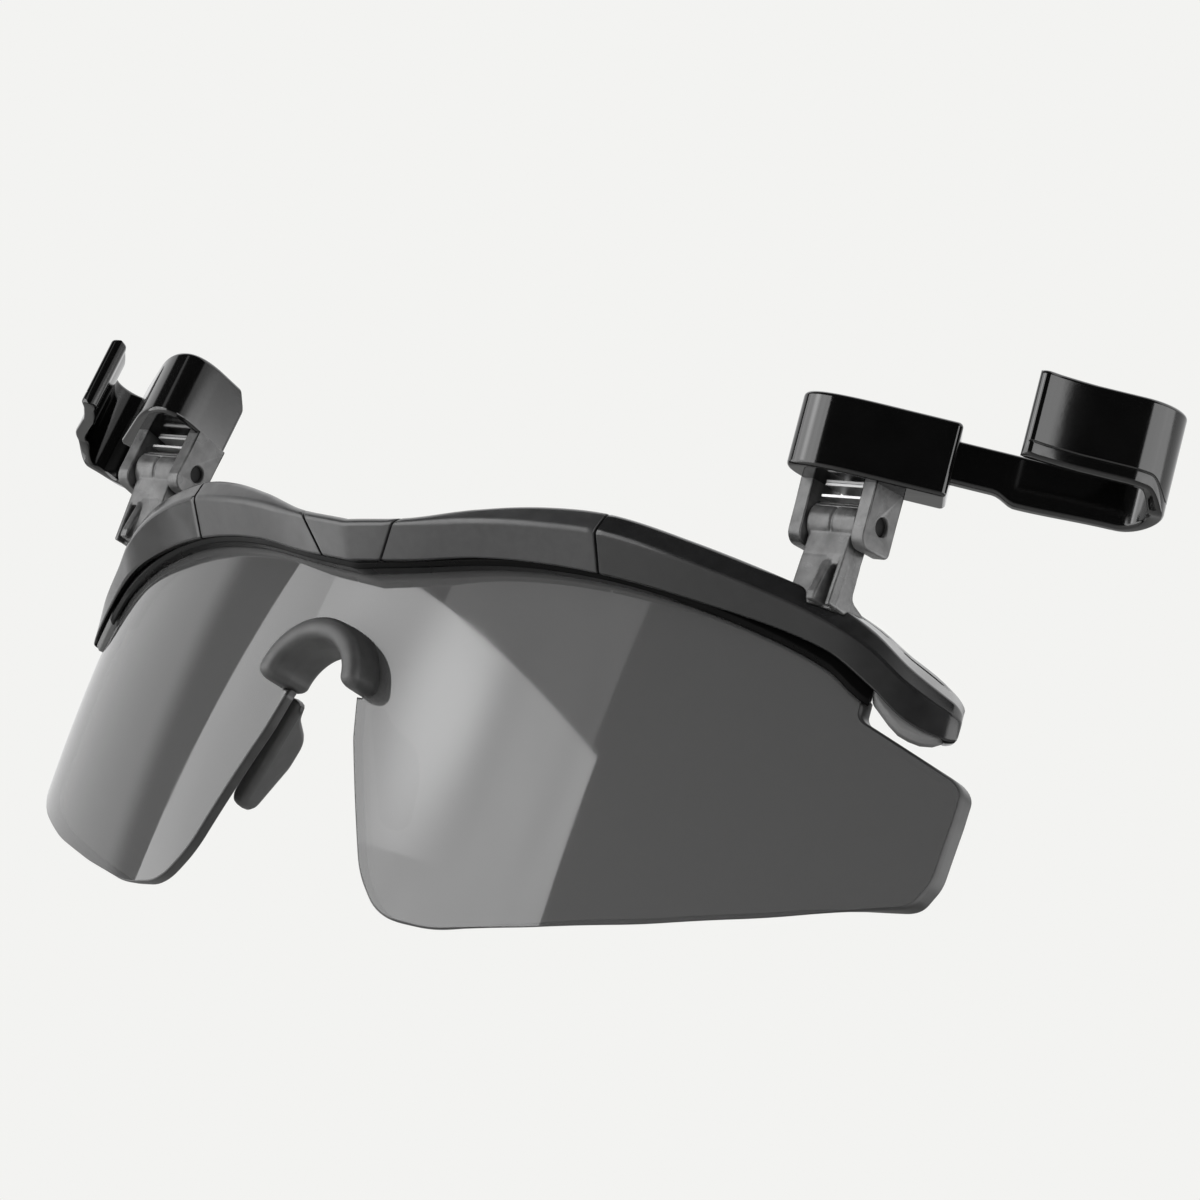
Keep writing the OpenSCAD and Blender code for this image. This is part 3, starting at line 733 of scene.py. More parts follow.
def hand_over(obj: Object, finishes: Sequence[Finish], body: str, slot: str, *nodes: str,
              sharp: float = 40.0, weighted: bool = True) -> Object:
    """Finish a piece: metres, shading, materials, body and the nodes it stands for.

    Args:
        obj: Object built in millimetres.
        finishes: Finish of each material number.
        body: Body that the piece rides on.
        slot: Material slot of the record; not used.
        nodes: CAD nodes that the piece replaces.
        sharp: Edge angle in degrees above which an edge stays sharp.
        weighted: Whether large faces keep their own normals.

    Returns:
        The finished piece.
    """
    mesh = obj.data
    mesh.transform(Matrix.Scale(MM, 4))
    numbers = [p.material_index for p in mesh.polygons]
    mesh.materials.clear()
    for finish in finishes:
        mesh.materials.append(finish.material())
    for polygon, number in zip(mesh.polygons, numbers):
        polygon.material_index = min(number, len(finishes) - 1)
    mesh.shade_smooth()
    mesh.set_sharp_from_angle(angle=math.radians(sharp))
    if weighted:
        modifier = obj.modifiers.new("normals", "WEIGHTED_NORMAL")
        modifier.keep_sharp, modifier.weight = True, 80
        bake(obj)
    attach(obj, body)
    if nodes:
        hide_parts(*nodes)
    LOG.info("%s rides on %s, %d faces", obj.name, body, len(obj.data.polygons))
    return obj


def dress(node: str, finish: Finish) -> None:
    """Give a CAD node that stays in view its finish.

    Args:
        node: The node's name.
        finish: Its finish.
    """
    for slot in frame["nodes"][node].material_slots:
        slot.material = finish.material()
    LOG.info("%s keeps its shape, in %s", node, finish.value.name)


# The lens's surface


@dataclass(frozen=True)
class LensForm:
    """The doubly curved face that the lens and the brow follow."""

    radius: float = 106.0
    fall_radius: float = 283.0
    mid_drop: float = 8.0
    thick: float = 1.6

    def rho(self, z: float) -> float:
        """Return the front face's radius in plan at a height."""
        return self.radius - self.fall_radius + math.sqrt(self.fall_radius**2 - (z + self.mid_drop) ** 2)

    def over(self, x: float, d: float, z: float) -> Vector:
        """Return a point near the lens.

        Args:
            x: Place on the lens.
            d: Distance in front of the lens.
            z: Height.

        Returns:
            The point.
        """
        a = math.asin(x / self.radius)
        r = self.rho(z) + d
        return Vector((r * math.sin(a), self.radius - r * math.cos(a), z))

    def depth(self, x: float, d: float, z: float) -> float:
        """Return Y of a point at the distance d in front of the lens, at its own X."""
        return self.radius - math.sqrt((self.rho(z) + d) ** 2 - x**2)

    def place(self, x: float, d: float, z: float) -> float:
        """Return the place on the lens of a point that stands at X."""
        return x * self.radius / (self.rho(z) + d)


# Brow


@dataclass(frozen=True)
class Brow:
    """Brow frame, its covers and the temple tabs.

    The tables give an edge's height, or how far a face falls back, against the place on the lens.
    """

    form: LensForm = LensForm()
    front: float = 6.3
    back: float = 2.8
    lip_front: float = 2.4
    wall: float = 1.4
    groove: float = 2.4
    gap: float = 0.3
    rail_end: float = 63.9
    cover_end: float = 70.7
    temple_end: float = 72.2
    temple_round: float = 0.95
    centre_seam: Point2 = (8.2, 4.9)
    outer_seam: Point2 = (33.9, 33.4)
    seam_scale: float = 0.96  # place on the lens of a seam, over its X
    seam_soft: float = 0.14
    probe: float = 0.5  # distance between the two sections that a cover's ring runs through
    fit: float = 0.1  # room between the rail and the covers
    lens_fit: float = 0.15
    ring_pitch: float = 0.9
    sweep_pitch: float = 1.1
    tab_lift: float = 1.1
    top_edge: Table = ((0, 16.1), (8.5, 17.1), (17, 19.5), (25, 21.3), (33, 22.1), (43, 21.1), (53.5, 19.7),
                       (58.5, 18.6), (62.5, 16.9), (66.5, 14.1), (72.2, 11.4))
    cover_edge: Table = ((0, 11.6), (9, 12.6), (19, 14.4), (31, 15.2), (44.5, 14.7), (58, 13.3), (63.7, 10.4),
                         (66.6, 8.3), (69, 7.4), (72.2, 7.2))
    lip_edge: Table = ((0, 11.3), (9, 12.4), (20, 14.2), (30, 15.0), (40, 14.8), (51, 13.4), (59, 11.4),
                       (63, 8.9), (72.2, 6))
    tab_edge: Table = ((60, 11.5), (63.6, 9.7), (67, 6.7), (69, 6.2), (72.2, 6.4))
    ridge_drop: Table = ((0, 0.9), (9, 1), (18, 2), (28, 2.8), (55, 2.6), (66, 2), (72.2, 1.4))
    ridge_back: Table = ((0, -0.9), (15, -0.6), (33, 0), (43, 0.4), (50, 1.2), (56, 2.2), (61, 3.2),
                         (66, 3.8), (72.2, 4.8))
    foot_back: Table = ((0, 2.3), (15, 2.9), (29, 3.4), (43, 3.8), (56, 4.3), (72.2, 4.9))
    lip_back: Table = ((0, 0), (30, 0.4), (45, 0.9), (56, 1.3), (72.2, 1.5))
    rear_rise: Table = ((0, -0.3), (45, -0.3), (52, 0.3), (58, 1.5), (62, 1.9), (66, 2.5), (69, 2.6),
                        (72.2, 1.7))
    cover_back: Table = ((0, 2.8), (46, 2.8), (55, 2.3), (60, 2), (72.2, 2))
    slot_stretches: Sequence[Point2] = ((60.6, 63.2), (65.6, 69.2))
    slot_start: float = 0.60
    slot_width: float = 0.42
    slot_depth: float = 0.5
    slot_ramp: float = 0.4
    cover_radii: Sequence[float] = (0.45, 1.1, 0.8, 0.02, 0.02, 0.02, 0.02, 0.35, 0.15, 0.1, 0.2)
    rail_radii: Sequence[float] = (0.1, 0.35, 0.5, 0.1, 0.3, 0.3, 0.1, 0.05, 0.05, 0.05)
    tab_radii: Sequence[float] = (0.25, 0.35, 0.5, 0.2, 0.2, 0.25)

    def lip(self, x: float) -> float:
        """Return the distance of the lip's front face from the lens."""
        return self.lip_front - curve_at(self.lip_back, x)

    def rail_top(self, x: float) -> float:
        """Return the height of the rail's top face, which lies under the covers."""
        return curve_at(self.top_edge, x) - self.wall - self.fit

    def slot_at(self, x: float) -> float:
        """Return the depth of the slot in the temple's top face.

        Args:
            x: Place on the lens.

        Returns:
            The depth.
        """
        ramp = self.slot_ramp
        return self.slot_depth * max(ease(x, a, a + ramp) * (1 - ease(x, b - ramp, b))
                                     for a, b in self.slot_stretches)

    def cover_section(self, x: float, less: float = 0.0, solid: float = 0.0) -> list[Point2]:
        """Return a cover's rounded section in distance from the lens and height.

        Args:
            x: Place on the lens.
            less: How much smaller the section is, for the rounded temple end.
            solid: 0 for the open shell, 1 for the closed temple end.

        Returns:
            Points of the section.
        """
        t, b = curve_at(self.top_edge, x), curve_at(self.cover_edge, x)
        r, f = self.front - curve_at(self.ridge_back, x), self.front - curve_at(self.foot_back, x)
        k, back = t - curve_at(self.ridge_drop, x), -curve_at(self.cover_back, x)
        rise, lip = curve_at(self.rear_rise, x), self.lip(x) + self.fit
        inner = [(back, t - self.wall), (lip, t - self.wall), (lip, b + 0.2)]
        closed = [(back + less, b + 0.4 + less), (back + less + 0.5, b + less),
                  (f - 0.6 - less / 2, b - 0.2 + less)]
        edge, rear = Vector((r - 0.6 - less, t - less)), Vector((back + less, t + rise - less))
        across = rear - edge
        down = Vector((across.y, -across.x)).normalized() * -self.slot_at(x)
        if down.y > 0:
            down.negate()
        mouth = edge + across * self.slot_start
        foot = edge + across * (self.slot_start + self.slot_width / across.length)
        slot = [mouth, mouth + down + across * 0.01, foot + down - across * 0.01, foot]
        corners = [(f - less / 2, b + less), (r - less, k), *(p.to_tuple() for p in (edge, *slot, rear)),
                   *(mix(p, q, solid) for p, q in zip(inner, closed))]
        return fillet(corners, self.cover_radii)

    def cover_ring(self, u: float, start: Point2, end: Point2, seam_end: bool, less: float) -> Ring:
        """Return one ring of a cover between its two ends.

        Args:
            u: Fraction of the way from start to end.
            start: X of the start seam at the top and bottom edge.
            end: X of the end seam, or the place of the temple end.
            seam_end: Whether the end is a seam.
            less: How much the ring is drawn in, for a softened seam edge.

        Returns:
            The ring's points.
        """
        x = between(sum(start) / 2 * self.seam_scale, sum(end) / 2 * (self.seam_scale if seam_end else 1), u)
        step = self.probe if x >= 0 else -self.probe
        here, near = self.cover_section(x), self.cover_section(x + step)
        if less > 0:
            here, near = inset(here, less), inset(near, less)
        t, b = curve_at(self.top_edge, x), curve_at(self.cover_edge, x)
        ring = []
        for p, q in zip(here, near):
            h = max(-0.1, min(1.1, (p[1] - b) / (t - b)))
            a, e = self.form.place(between(start[1], start[0], h), *p), between(end[1], end[0], h)
            place = between(a, self.form.place(e, *p) if seam_end else e, u)
            ring.append(self.form.over(place, *mix(p, q, (place - x) / step)))
        return ring

    def cover(self, start: Point2, end: Point2, seam_end: bool = True) -> list[Ring]:
        """Return the rings of a cover, with softened seam edges.

        Args:
            start: X of the start seam at the top and bottom edge.
            end: X of the end seam, or the place of the temple end.
            seam_end: Whether the end is a seam.

        Returns:
            The rings in order.
        """
        length = abs(sum(end) - sum(start)) / 2
        soft = self.seam_soft / length
        stations = [(0.0, 0.13), (soft * 0.35, 0.05), (soft, 0.0)]
        stations += [(u, 0.0) for u in spaced(0, 1, max(8, round(length / self.ring_pitch)))[1:-1]]
        stations += [(1 - soft, 0.0), (1 - soft * 0.35, 0.05), (1.0, 0.13)] if seam_end else [(1.0, 0.0)]
        return [self.cover_ring(u, start, end, seam_end, less) for u, less in stations]

    def skin(self, rings: list[Ring]) -> Shape:
        """Loft a cover's rings, with its underside in the second finish, a black that paints the shade under
        the skirt.

        Args:
            rings: The cover's rings.

        Returns:
            The cover.
        """
        shape = loft(rings)
        n = len(rings[0])
        for number in range((len(rings) - 1) * n):
            # The skirt's underside takes the second finish, the lip's black: painted shade under the cover.
            shape.finish[number] = 1 if number % n >= n - 5 or number % n < 1 else 0
        return shape

    def temple_rings(self) -> list[Ring]:
        """Make the rings that close and round the temple end.

        Returns:
            The rings in order.
        """
        rings = []
        for s in spaced(0, 1, 12)[1:]:
            x = between(self.cover_end, self.temple_end, s)
            less = self.temple_round * (1 - math.sqrt(max(0.0, 1 - max(0.0, (s - 0.15) / 0.85) ** 2)))
            rings.append([self.form.over(x, d, z) for d, z in self.cover_section(x, less, ease(s, 0.0, 0.3))])
        return rings

    def rail_section(self, x: float) -> list[Point2]:
        """Return the main moulding's rounded section.

        Args:
            x: Place on the lens.

        Returns:
            Points of the section.
        """
        t, b = self.rail_top(x), curve_at(self.lip_edge, x)
        g, lip, front, back = b + self.groove, self.lip(x), self.lens_fit, -self.form.thick - self.lens_fit
        corners = [(front, b), (lip - 0.5, b), (lip, b + 0.6), (lip, t), (-self.back, t),
                   (-self.back, b + 0.8), (back - 0.4, b + 0.2), (back, b + 0.2), (back, g), (front, g)]
        return fillet(corners, self.rail_radii)

    def tab_section(self, x: float) -> list[Point2]:
        """Return the temple tab's rounded section.

        Args:
            x: Place on the lens.

        Returns:
            Points of the section.
        """
        t, b, lip = self.rail_top(x), curve_at(self.tab_edge, x), self.lip(x)
        b += self.tab_lift * ease(x, self.cover_end - 0.9, self.cover_end + 0.9)
        corners = [(-1, b), (lip - 0.5, b), (lip, b + 0.6), (lip, t), (-1.6, t), (-1.6, b + 0.6)]
        return fillet(corners, self.tab_radii)

    def swept(self, section: Callable[[float], list[Point2]], start: float, end: float, soft: float) -> Shape:
        """Sweep a section along the lens with softened ends.

        Args:
            section: Gives the section's points at a place.
            start: Place of the first end.
            end: Place of the last end.
            soft: How far each end is softened.

        Returns:
            The swept shape.
        """
        stations = [(start, soft), (start + soft * 0.3, soft * 0.4), (start + soft, 0.0)]
        stations += [(x, 0.0) for x in spaced(start, end, round((end - start) / self.sweep_pitch))[1:-1]]
        stations += [(end - soft, 0.0), (end - soft * 0.3, soft * 0.4), (end, soft)]
        rings = []
        for x, less in stations:
            points = section(x) if less == 0 else inset(section(x), less)
            rings.append([self.form.over(x, d, z) for d, z in points])
        return loft(rings)

    def build(self, posts: dict[Side, "HingePost"]) -> None:
        """Make the frame, covers and tabs, and hand them over.

        Args:
            posts: The posts, whose feet need notches in the outer covers.
        """
        half = self.gap / 2
        (centre_end, inner_start), (inner_end, outer_start) = (
            [(a + room, b + room) for room in (-half, half)] for a, b in (self.centre_seam, self.outer_seam))
        # Each cover's second finish, the lip's black on its underside, is painted shade under the skirt.
        grey, dark = [Finish.SATIN_GREY, Finish.LIP_BLACK], [Finish.SATIN_DARK, Finish.LIP_BLACK]
        temple = (self.cover_end, self.cover_end)
        rail = self.swept(self.rail_section, -self.rail_end, self.rail_end, 0.15)
        hand_over(rail.to_object("brow_rail"), [Finish.LIP_BLACK], "frame", "frame_black", "brow_frame")
        centre = self.skin(self.cover((-centre_end[0], -centre_end[1]), centre_end))
        hand_over(centre.to_object("brow_centre"), grey, "frame", "cover_grey", "centre_cover")
        for side in Side:
            inner = self.skin(self.cover(inner_start, inner_end)).moved(side.mirror)
            hand_over(inner.to_object(f"brow_inner_{side.word}"), grey, "frame", "cover_grey",
                      f"inner_cover_{side.word}")
            outer = self.skin(self.cover(outer_start, temple, seam_end=False) + self.temple_rings())
            piece = outer.moved(side.mirror).to_object(f"brow_outer_{side.word}")
            hand_over(cut(piece, posts[side].notches()), dark, "frame", "cover_dark",
                      f"outer_cover_{side.word}")
            tab = self.swept(self.tab_section, self.rail_end + self.fit, self.cover_end + 0.8, 0.35)
            hand_over(tab.moved(side.mirror).to_object(f"temple_tab_{side.word}_moulding"), [Finish.TAB_GREY],
                      "frame", "tab_grey", f"temple_tab_{side.word}")


# Lens


@dataclass(frozen=True)
class Shield:
    """The one-piece lens, with a rounded rim."""

    form: LensForm = LensForm()
    brow: Brow = Brow()
    nose_half: float = 5.6
    arch_leg: float = 4.2
    rim: float = 0.32
    bevel: float = 1.25
    bevel_from: Point2 = (12.0, 46.0)
    bevel_until: Point2 = (-17.5, -12.0)
    pitch: float = 1.9
    grid_low: Point2 = (-75.0, -31.0)
    grid_high: Point2 = (75.0, 19.0)
    edge_step: float = 1.2
    near_face: float = 0.02

    def half(self) -> list[Point2]:
        """Work out the outline's half on the wearer's left, from the top of the cut-out outwards.

        Returns:
            Points of the half.
        """
        corners = [(0.0, 2.6), (self.nose_half + 0.8, 2.6), (self.nose_half + 0.8, -self.arch_leg - 0.1),
                   (self.nose_half, -self.arch_leg - 0.1), (self.nose_half + 1.6, -9.4), (14.3, -25.4),
                   (18.4, -30.0), (25.6, -30.3), (37.0, -27.4), (49.0, -23.7), (61.0, -18.8), (72.9, -12.5),
                   (74.0, -8.8), (74.1, -1.5), (74.0, 3.1), (63.2, 6.95), (63.0, 9.4)]
        radii = [0, 4.6, 0, 0, 12, 14, 6.6, 16, 60, 60, 60, 3.2, 8, 30, 2.4, 1.2, 0]
        back = self.form.rho(14) - self.form.thick
        lip = [(x, curve_at(self.brow.lip_edge, x * self.form.radius / back)) for x in range(60, -1, -2)]
        top = [(x, z + self.brow.groove - self.brow.lens_fit) for x, z in lip]
        closed = corners + top
        out: list[Point2] = []
        for i, (p, radius) in enumerate(zip(corners, radii)):
            three = [closed[i - 1], p, closed[i + 1]]
            out += fillet(three, [0.001, radius, 0.001], 8)[9:18] if radius else [p]
        return out + top

    def outline(self) -> list[Point2]:
        """Work out the whole outline, split into short steps.

        Returns:
            Points of the outline.
        """
        half = self.half()
        corners = half + [(-x, z) for x, z in reversed(half) if x > 0]
        out: list[Point2] = []
        for p, q in zip(corners, corners[1:] + corners[:1]):
            if math.dist(p, q) >= 1e-3:
                count = math.ceil(math.dist(p, q) / self.edge_step)
                out += zip(spaced(p[0], q[0], count)[:-1], spaced(p[1], q[1], count)[:-1])
        return out

    def ground(self, outline: Sequence[Point2], less: float, depth: float) -> list[Point2]:
        """Draw the outline in at a depth, with the outer edges ground back to a bevel.

        Args:
            outline: The lens's outline.
            less: How far the rounded rim draws in at this depth.
            depth: Distance behind the front face.

        Returns:
            The drawn-in outline.
        """
        near, far = inset(outline, less), inset(outline, less * 0.5 + self.bevel * depth / self.form.thick)
        return [mix(a, b, ease(abs(a[0]), *self.bevel_from) * (1 - ease(a[1], *self.bevel_until)))
                for a, b in zip(near, far)]

    def sheet(self, loop: Sequence[Point2], depth: float) -> Shape:
        """Fill a loop with a grid of triangles laid on the curved face.

        Args:
            loop: Closed outline in X and Z.
            depth: Distance of the face behind the front face.

        Returns:
            The face.
        """
        points = [Vector(p) for p in loop]
        edges = [(i, (i + 1) % len(loop)) for i in range(len(loop))]
        x, row = self.grid_low[0], 0
        while x < self.grid_high[0]:
            z = self.grid_low[1] + (self.pitch / 2 if row % 2 else 0)
            while z < self.grid_high[1]:
                points.append(Vector((x, z)))
                z += self.pitch
            x += self.pitch * 0.9
            row += 1
        verts, _, faces, *_ = delaunay_2d_cdt(points, edges, [list(range(len(loop)))], 1, TOUCHING)
        return Shape([Vector((v.x, self.form.depth(v.x, -depth, v.y), v.y)) for v in verts],
                     [list(f) for f in faces])

    def polish(self, mesh: bpy.types.Mesh) -> None:
        """Set exact normals on both faces, so that reflections run without ripples.

        Args:
            mesh: The lens's mesh in metres.
        """
        form, normals = self.form, []
        for vertex in mesh.vertices:
            x, y, z = vertex.co / MM
            r = math.hypot(x, y - form.radius)
            out = r - form.rho(z)
            fall = (z + form.mid_drop) / math.sqrt(form.fall_radius**2 - (z + form.mid_drop) ** 2)
            normal = Vector((x / r, (y - form.radius) / r, fall)).normalized()
            if abs(out) < self.near_face:
                normals.append(normal)
            elif abs(out + form.thick) < self.near_face:
                normals.append(-normal)
            else:
                normals.append(vertex.normal.copy())
        mesh.normals_split_custom_set_from_vertices(normals)

    def build(self) -> None:
        """Make the lens and hand it over."""
        outline, profile = self.outline(), rim_arc(self.rim, 4)
        profile += [(i, self.form.thick - d) for i, d in reversed(profile)]
        loops = [(self.ground(outline, i, d), d) for i, d in profile]
        rings = [[Vector((x, self.form.depth(x, -d, z), z)) for x, z in loop] for loop, d in loops]
        shape = Shape().add(loft(rings, capped=False), 1)
        for face in (loops[0], loops[-1]):
            shape.add(self.sheet(*face))
        piece = hand_over(shape.to_object("shield"), [Finish.LENS, Finish.LENS_EDGE], "frame", "lens",
                          "lens_shield", sharp=75, weighted=False)
        self.polish(piece.data)


# Nose


@dataclass(frozen=True)
class NoseSaddle:
    """Soft arch over the nose cut-out, and the two wings behind the lens."""

    half: float = 5.6
    wall: float = 2.9
    front: float = 4.0
    back: float = 3.6
    leg: float = 4.2
    lens: float = 1.6
    dome: float = 11.0
    pad_deep: float = 6.5
    pad_thick: float = 2.4

    def arch(self) -> Shape:
        """Make the arch: a rounded section swept over half a turn, with domed ends.

        Returns:
            The arch.
        """
        low, high = self.half - 0.2, self.half - 0.2 + self.wall
        corners = [(low, self.back), (high, self.back), (high + 0.25, -0.5), (high, -self.front),
                   (low + 0.2, -self.front), (low, -0.5)]
        section = fillet(corners, (1.2, 1.35, 3.0, 1.4, 1.3, 3.0), 6)
        middle = ((low + high) / 2, (self.back - self.front) / 2)
        domed = [(self.dome * (1 - math.cos(math.pi / 2 * k / 6)), math.sin(math.pi / 2 * (k + 1.2) / 7.2))
                 for k in range(7)]
        stations = domed + [(a, 1.0) for a in spaced(self.dome, 180 - self.dome, 44)[1:-1]]
        rings = []
        for degrees, size in stations + [(180 - a, s) for a, s in reversed(domed)]:
            a = math.radians(degrees)
            ring = []
            for far, deep in section:
                r, y = between(middle[0], far, size), between(middle[1], deep, 0.35 + 0.65 * size)
                ring.append(Vector((r * math.cos(a), y, r * math.sin(a) - self.leg)))
            rings.append(ring)
        return loft(rings)

    def pad(self) -> Shape:
        """Make the wearer's left wing.

        Returns:
            The wing.
        """
        deep = self.pad_deep - 0.6
        corners = [(0.1, -0.2), (1.6, -0.2), (2.2, -2), (deep, -4.6), (deep, -8.6), (3.6, -15.6), (0.3, -15)]
        outline = fillet(corners, (0.3, 0.5, 2.0, 3.0, 4.0, 2.0, 1.6), 6)
        place = Matrix.Translation((self.half + 0.9, self.lens + 0.9, -self.leg - 0.4))
        return along_x(outline, -self.pad_thick / 2, self.pad_thick / 2, 0.9).moved(
            place @ turned(-22, "Y") @ turned(-16, "Z") @ turned(7, "X"))

    def build(self) -> None:
        """Make the arch and the wings, and hand them over."""
        hand_over(self.arch().to_object("nose_arch"), [Finish.RUBBER], "frame", "soft_black", "nose_bridge",
                  sharp=60, weighted=False)
        for side in Side:
            wing = self.pad().moved(side.mirror).to_object(f"nose_wing_{side.word}")
            hand_over(wing, [Finish.RUBBER], "frame", "soft_black", f"nose_pad_{side.word}", sharp=70)


# Hinge posts


@dataclass(frozen=True)
class HingePost:
    """A grey post on the brow, with a ribbed knuckle on the hinge axis."""

    side: Side
    ribs: GeometryTree
    brow: Brow = Brow()
    form: LensForm = LensForm()
    x: float = 57.0
    rise: float = 9.3
    knuckle_radius: float = 2.6
    knuckle_width: float = 7.2
    parting: float = 0.28
    rib_radius: float = 0.33
    rib_first: float = -20.0
    rib_step: float = 20.0
    rib_count: int = 9
    neck_width: float = 6.4
    foot_front: float = 2.0
    fit: float = 0.1
    voxel: float = 0.13
    softening: int = 3

    @property
    def axis(self) -> Vector:
        """Return the hinge axis's middle on the wearer's left."""
        z = curve_at(self.brow.top_edge, self.x) + self.rise
        return Vector((self.x, self.form.depth(self.x, 2.4, z - self.rise), z))

    @property
    def rail_top(self) -> float:
        """Return the rail's top below the hinge axis."""
        return -self.rise - self.brow.wall - self.brow.fit

    @property
    def foot_back(self) -> float:
        """Return how far the foot reaches behind the hinge axis."""
        d = (self.brow.back - self.brow.lip_front + 1.3) / 2
        return self.form.depth(self.x, -d, self.axis.z - self.rise) - self.axis.y + 1.5

    def to_frame(self) -> Matrix:
        """Return the matrix from axes about the left hinge axis to this side of the frame."""
        return self.side.mirror @ Matrix.Translation(self.axis)

    def notches(self) -> list[Shape]:
        """Make what the post's foot and strut take out of the outer cover.

        Returns:
            The two shapes to cut out.
        """
        w, top = self.neck_width / 2 + self.fit, self.rail_top + 20
        foot = block((-w, -self.foot_front - self.fit, self.rail_top - self.fit / 2),
                     (w, self.foot_back + self.fit, top))
        strut = block((0.0, -20, self.rail_top + 0.2), (1.6, 0, top))
        return [foot.moved(self.to_frame()), strut.moved(self.to_frame())]

    def build(self) -> None:
        """Make the post with its ribs, and hand it over."""
        w, low, end = self.neck_width / 2, self.rail_top + self.fit, self.knuckle_width / 2
        foot = [(self.foot_back, low), (self.foot_back, low + 1.1), (1.9, low + 2.1), (1.6, -4.6)]
        foot_radii, gap = (0.1, 0.1, 0.1, 0.5, 1.0, 0.1), self.parting / 2
        # The neck, the foot's two halves, the strut and the foot's front: corners, radii, ends along X, rim
        bars = (
            (((-1.9, 0.0), (-1.9, -4.4), (-1.75, -5.6), (1.6, -5.6), (1.5, 0.0)), (0.1,) * 5, -w, w, 0.25),
            (((-1.9, -4.6), (-1.95, low), *foot), foot_radii, -w, 0.9, 0.22),
            (((-0.6, -4.6), (-0.6, low), *foot), foot_radii, 0.1, w, 0.22),
            (((-0.6, -5.0), (-1.9, -5.2), (-2.85, low + 1.2), (-2.85, low + 0.2), (-0.6, low + 0.2)),
             (0.1, 0.3, 0.2, 0.2, 0.1), 0.15, 1.45, 0.3),
            (((-0.6, -4.4), (-1.9, -4.4), (-1.95, low), (-0.6, low)), (0.1, 0.3, 0.1, 0.1), 2.45, w, 0.2))
        body = along_x(circle(self.knuckle_radius - 0.24, 40), -end, end, 0.2)
        for corners, radii, start, stop, rim in bars:
            body.add(along_x(fillet(corners, radii, 2), start, stop, rim))
        barrel = [polar(self.knuckle_radius, math.radians(a)) for a in range(148, 331, 7)]
        for start, stop in ((-end, -gap), (gap, end)):
            body.add(along_x(barrel, start, stop, 0.2))
        post = body.moved(self.to_frame()).to_object(f"post_{self.side.word}")
        fuse(post, self.voxel, self.softening)
        rib_outline = circle(self.rib_radius, 10, self.knuckle_radius - self.rib_radius)
        rib = along_x(rib_outline, -end + 0.12, end - 0.12, 0.1)
        ribs = self.ribs.run(rib.to_object(f"ribs_{self.side.word}"), Material=Finish.MOTTLED_GREY.material(),
                             Count=self.rib_count, First=math.radians(self.rib_first),
                             Step=math.radians(self.rib_step))
        ribs.data.transform(self.to_frame())
        if self.side is Side.RIGHT:
            ribs.data.flip_normals()
        hand_over(post, [Finish.MOTTLED_GREY], "frame", "post_grey", f"hinge_post_{self.side.word}",
                  sharp=80, weighted=False)
        hand_over(ribs, [Finish.MOTTLED_GREY], "frame", "post_grey", sharp=60, weighted=False)
        dress(f"post_screw_{self.side.word}", Finish.STEEL)


# Clips


@dataclass(frozen=True)
class Station:
    """One station of the hook's centreline, in axes along the bar."""

    outer: Vector
    inwards: Vector
    thick: float
    low: float
    high: float


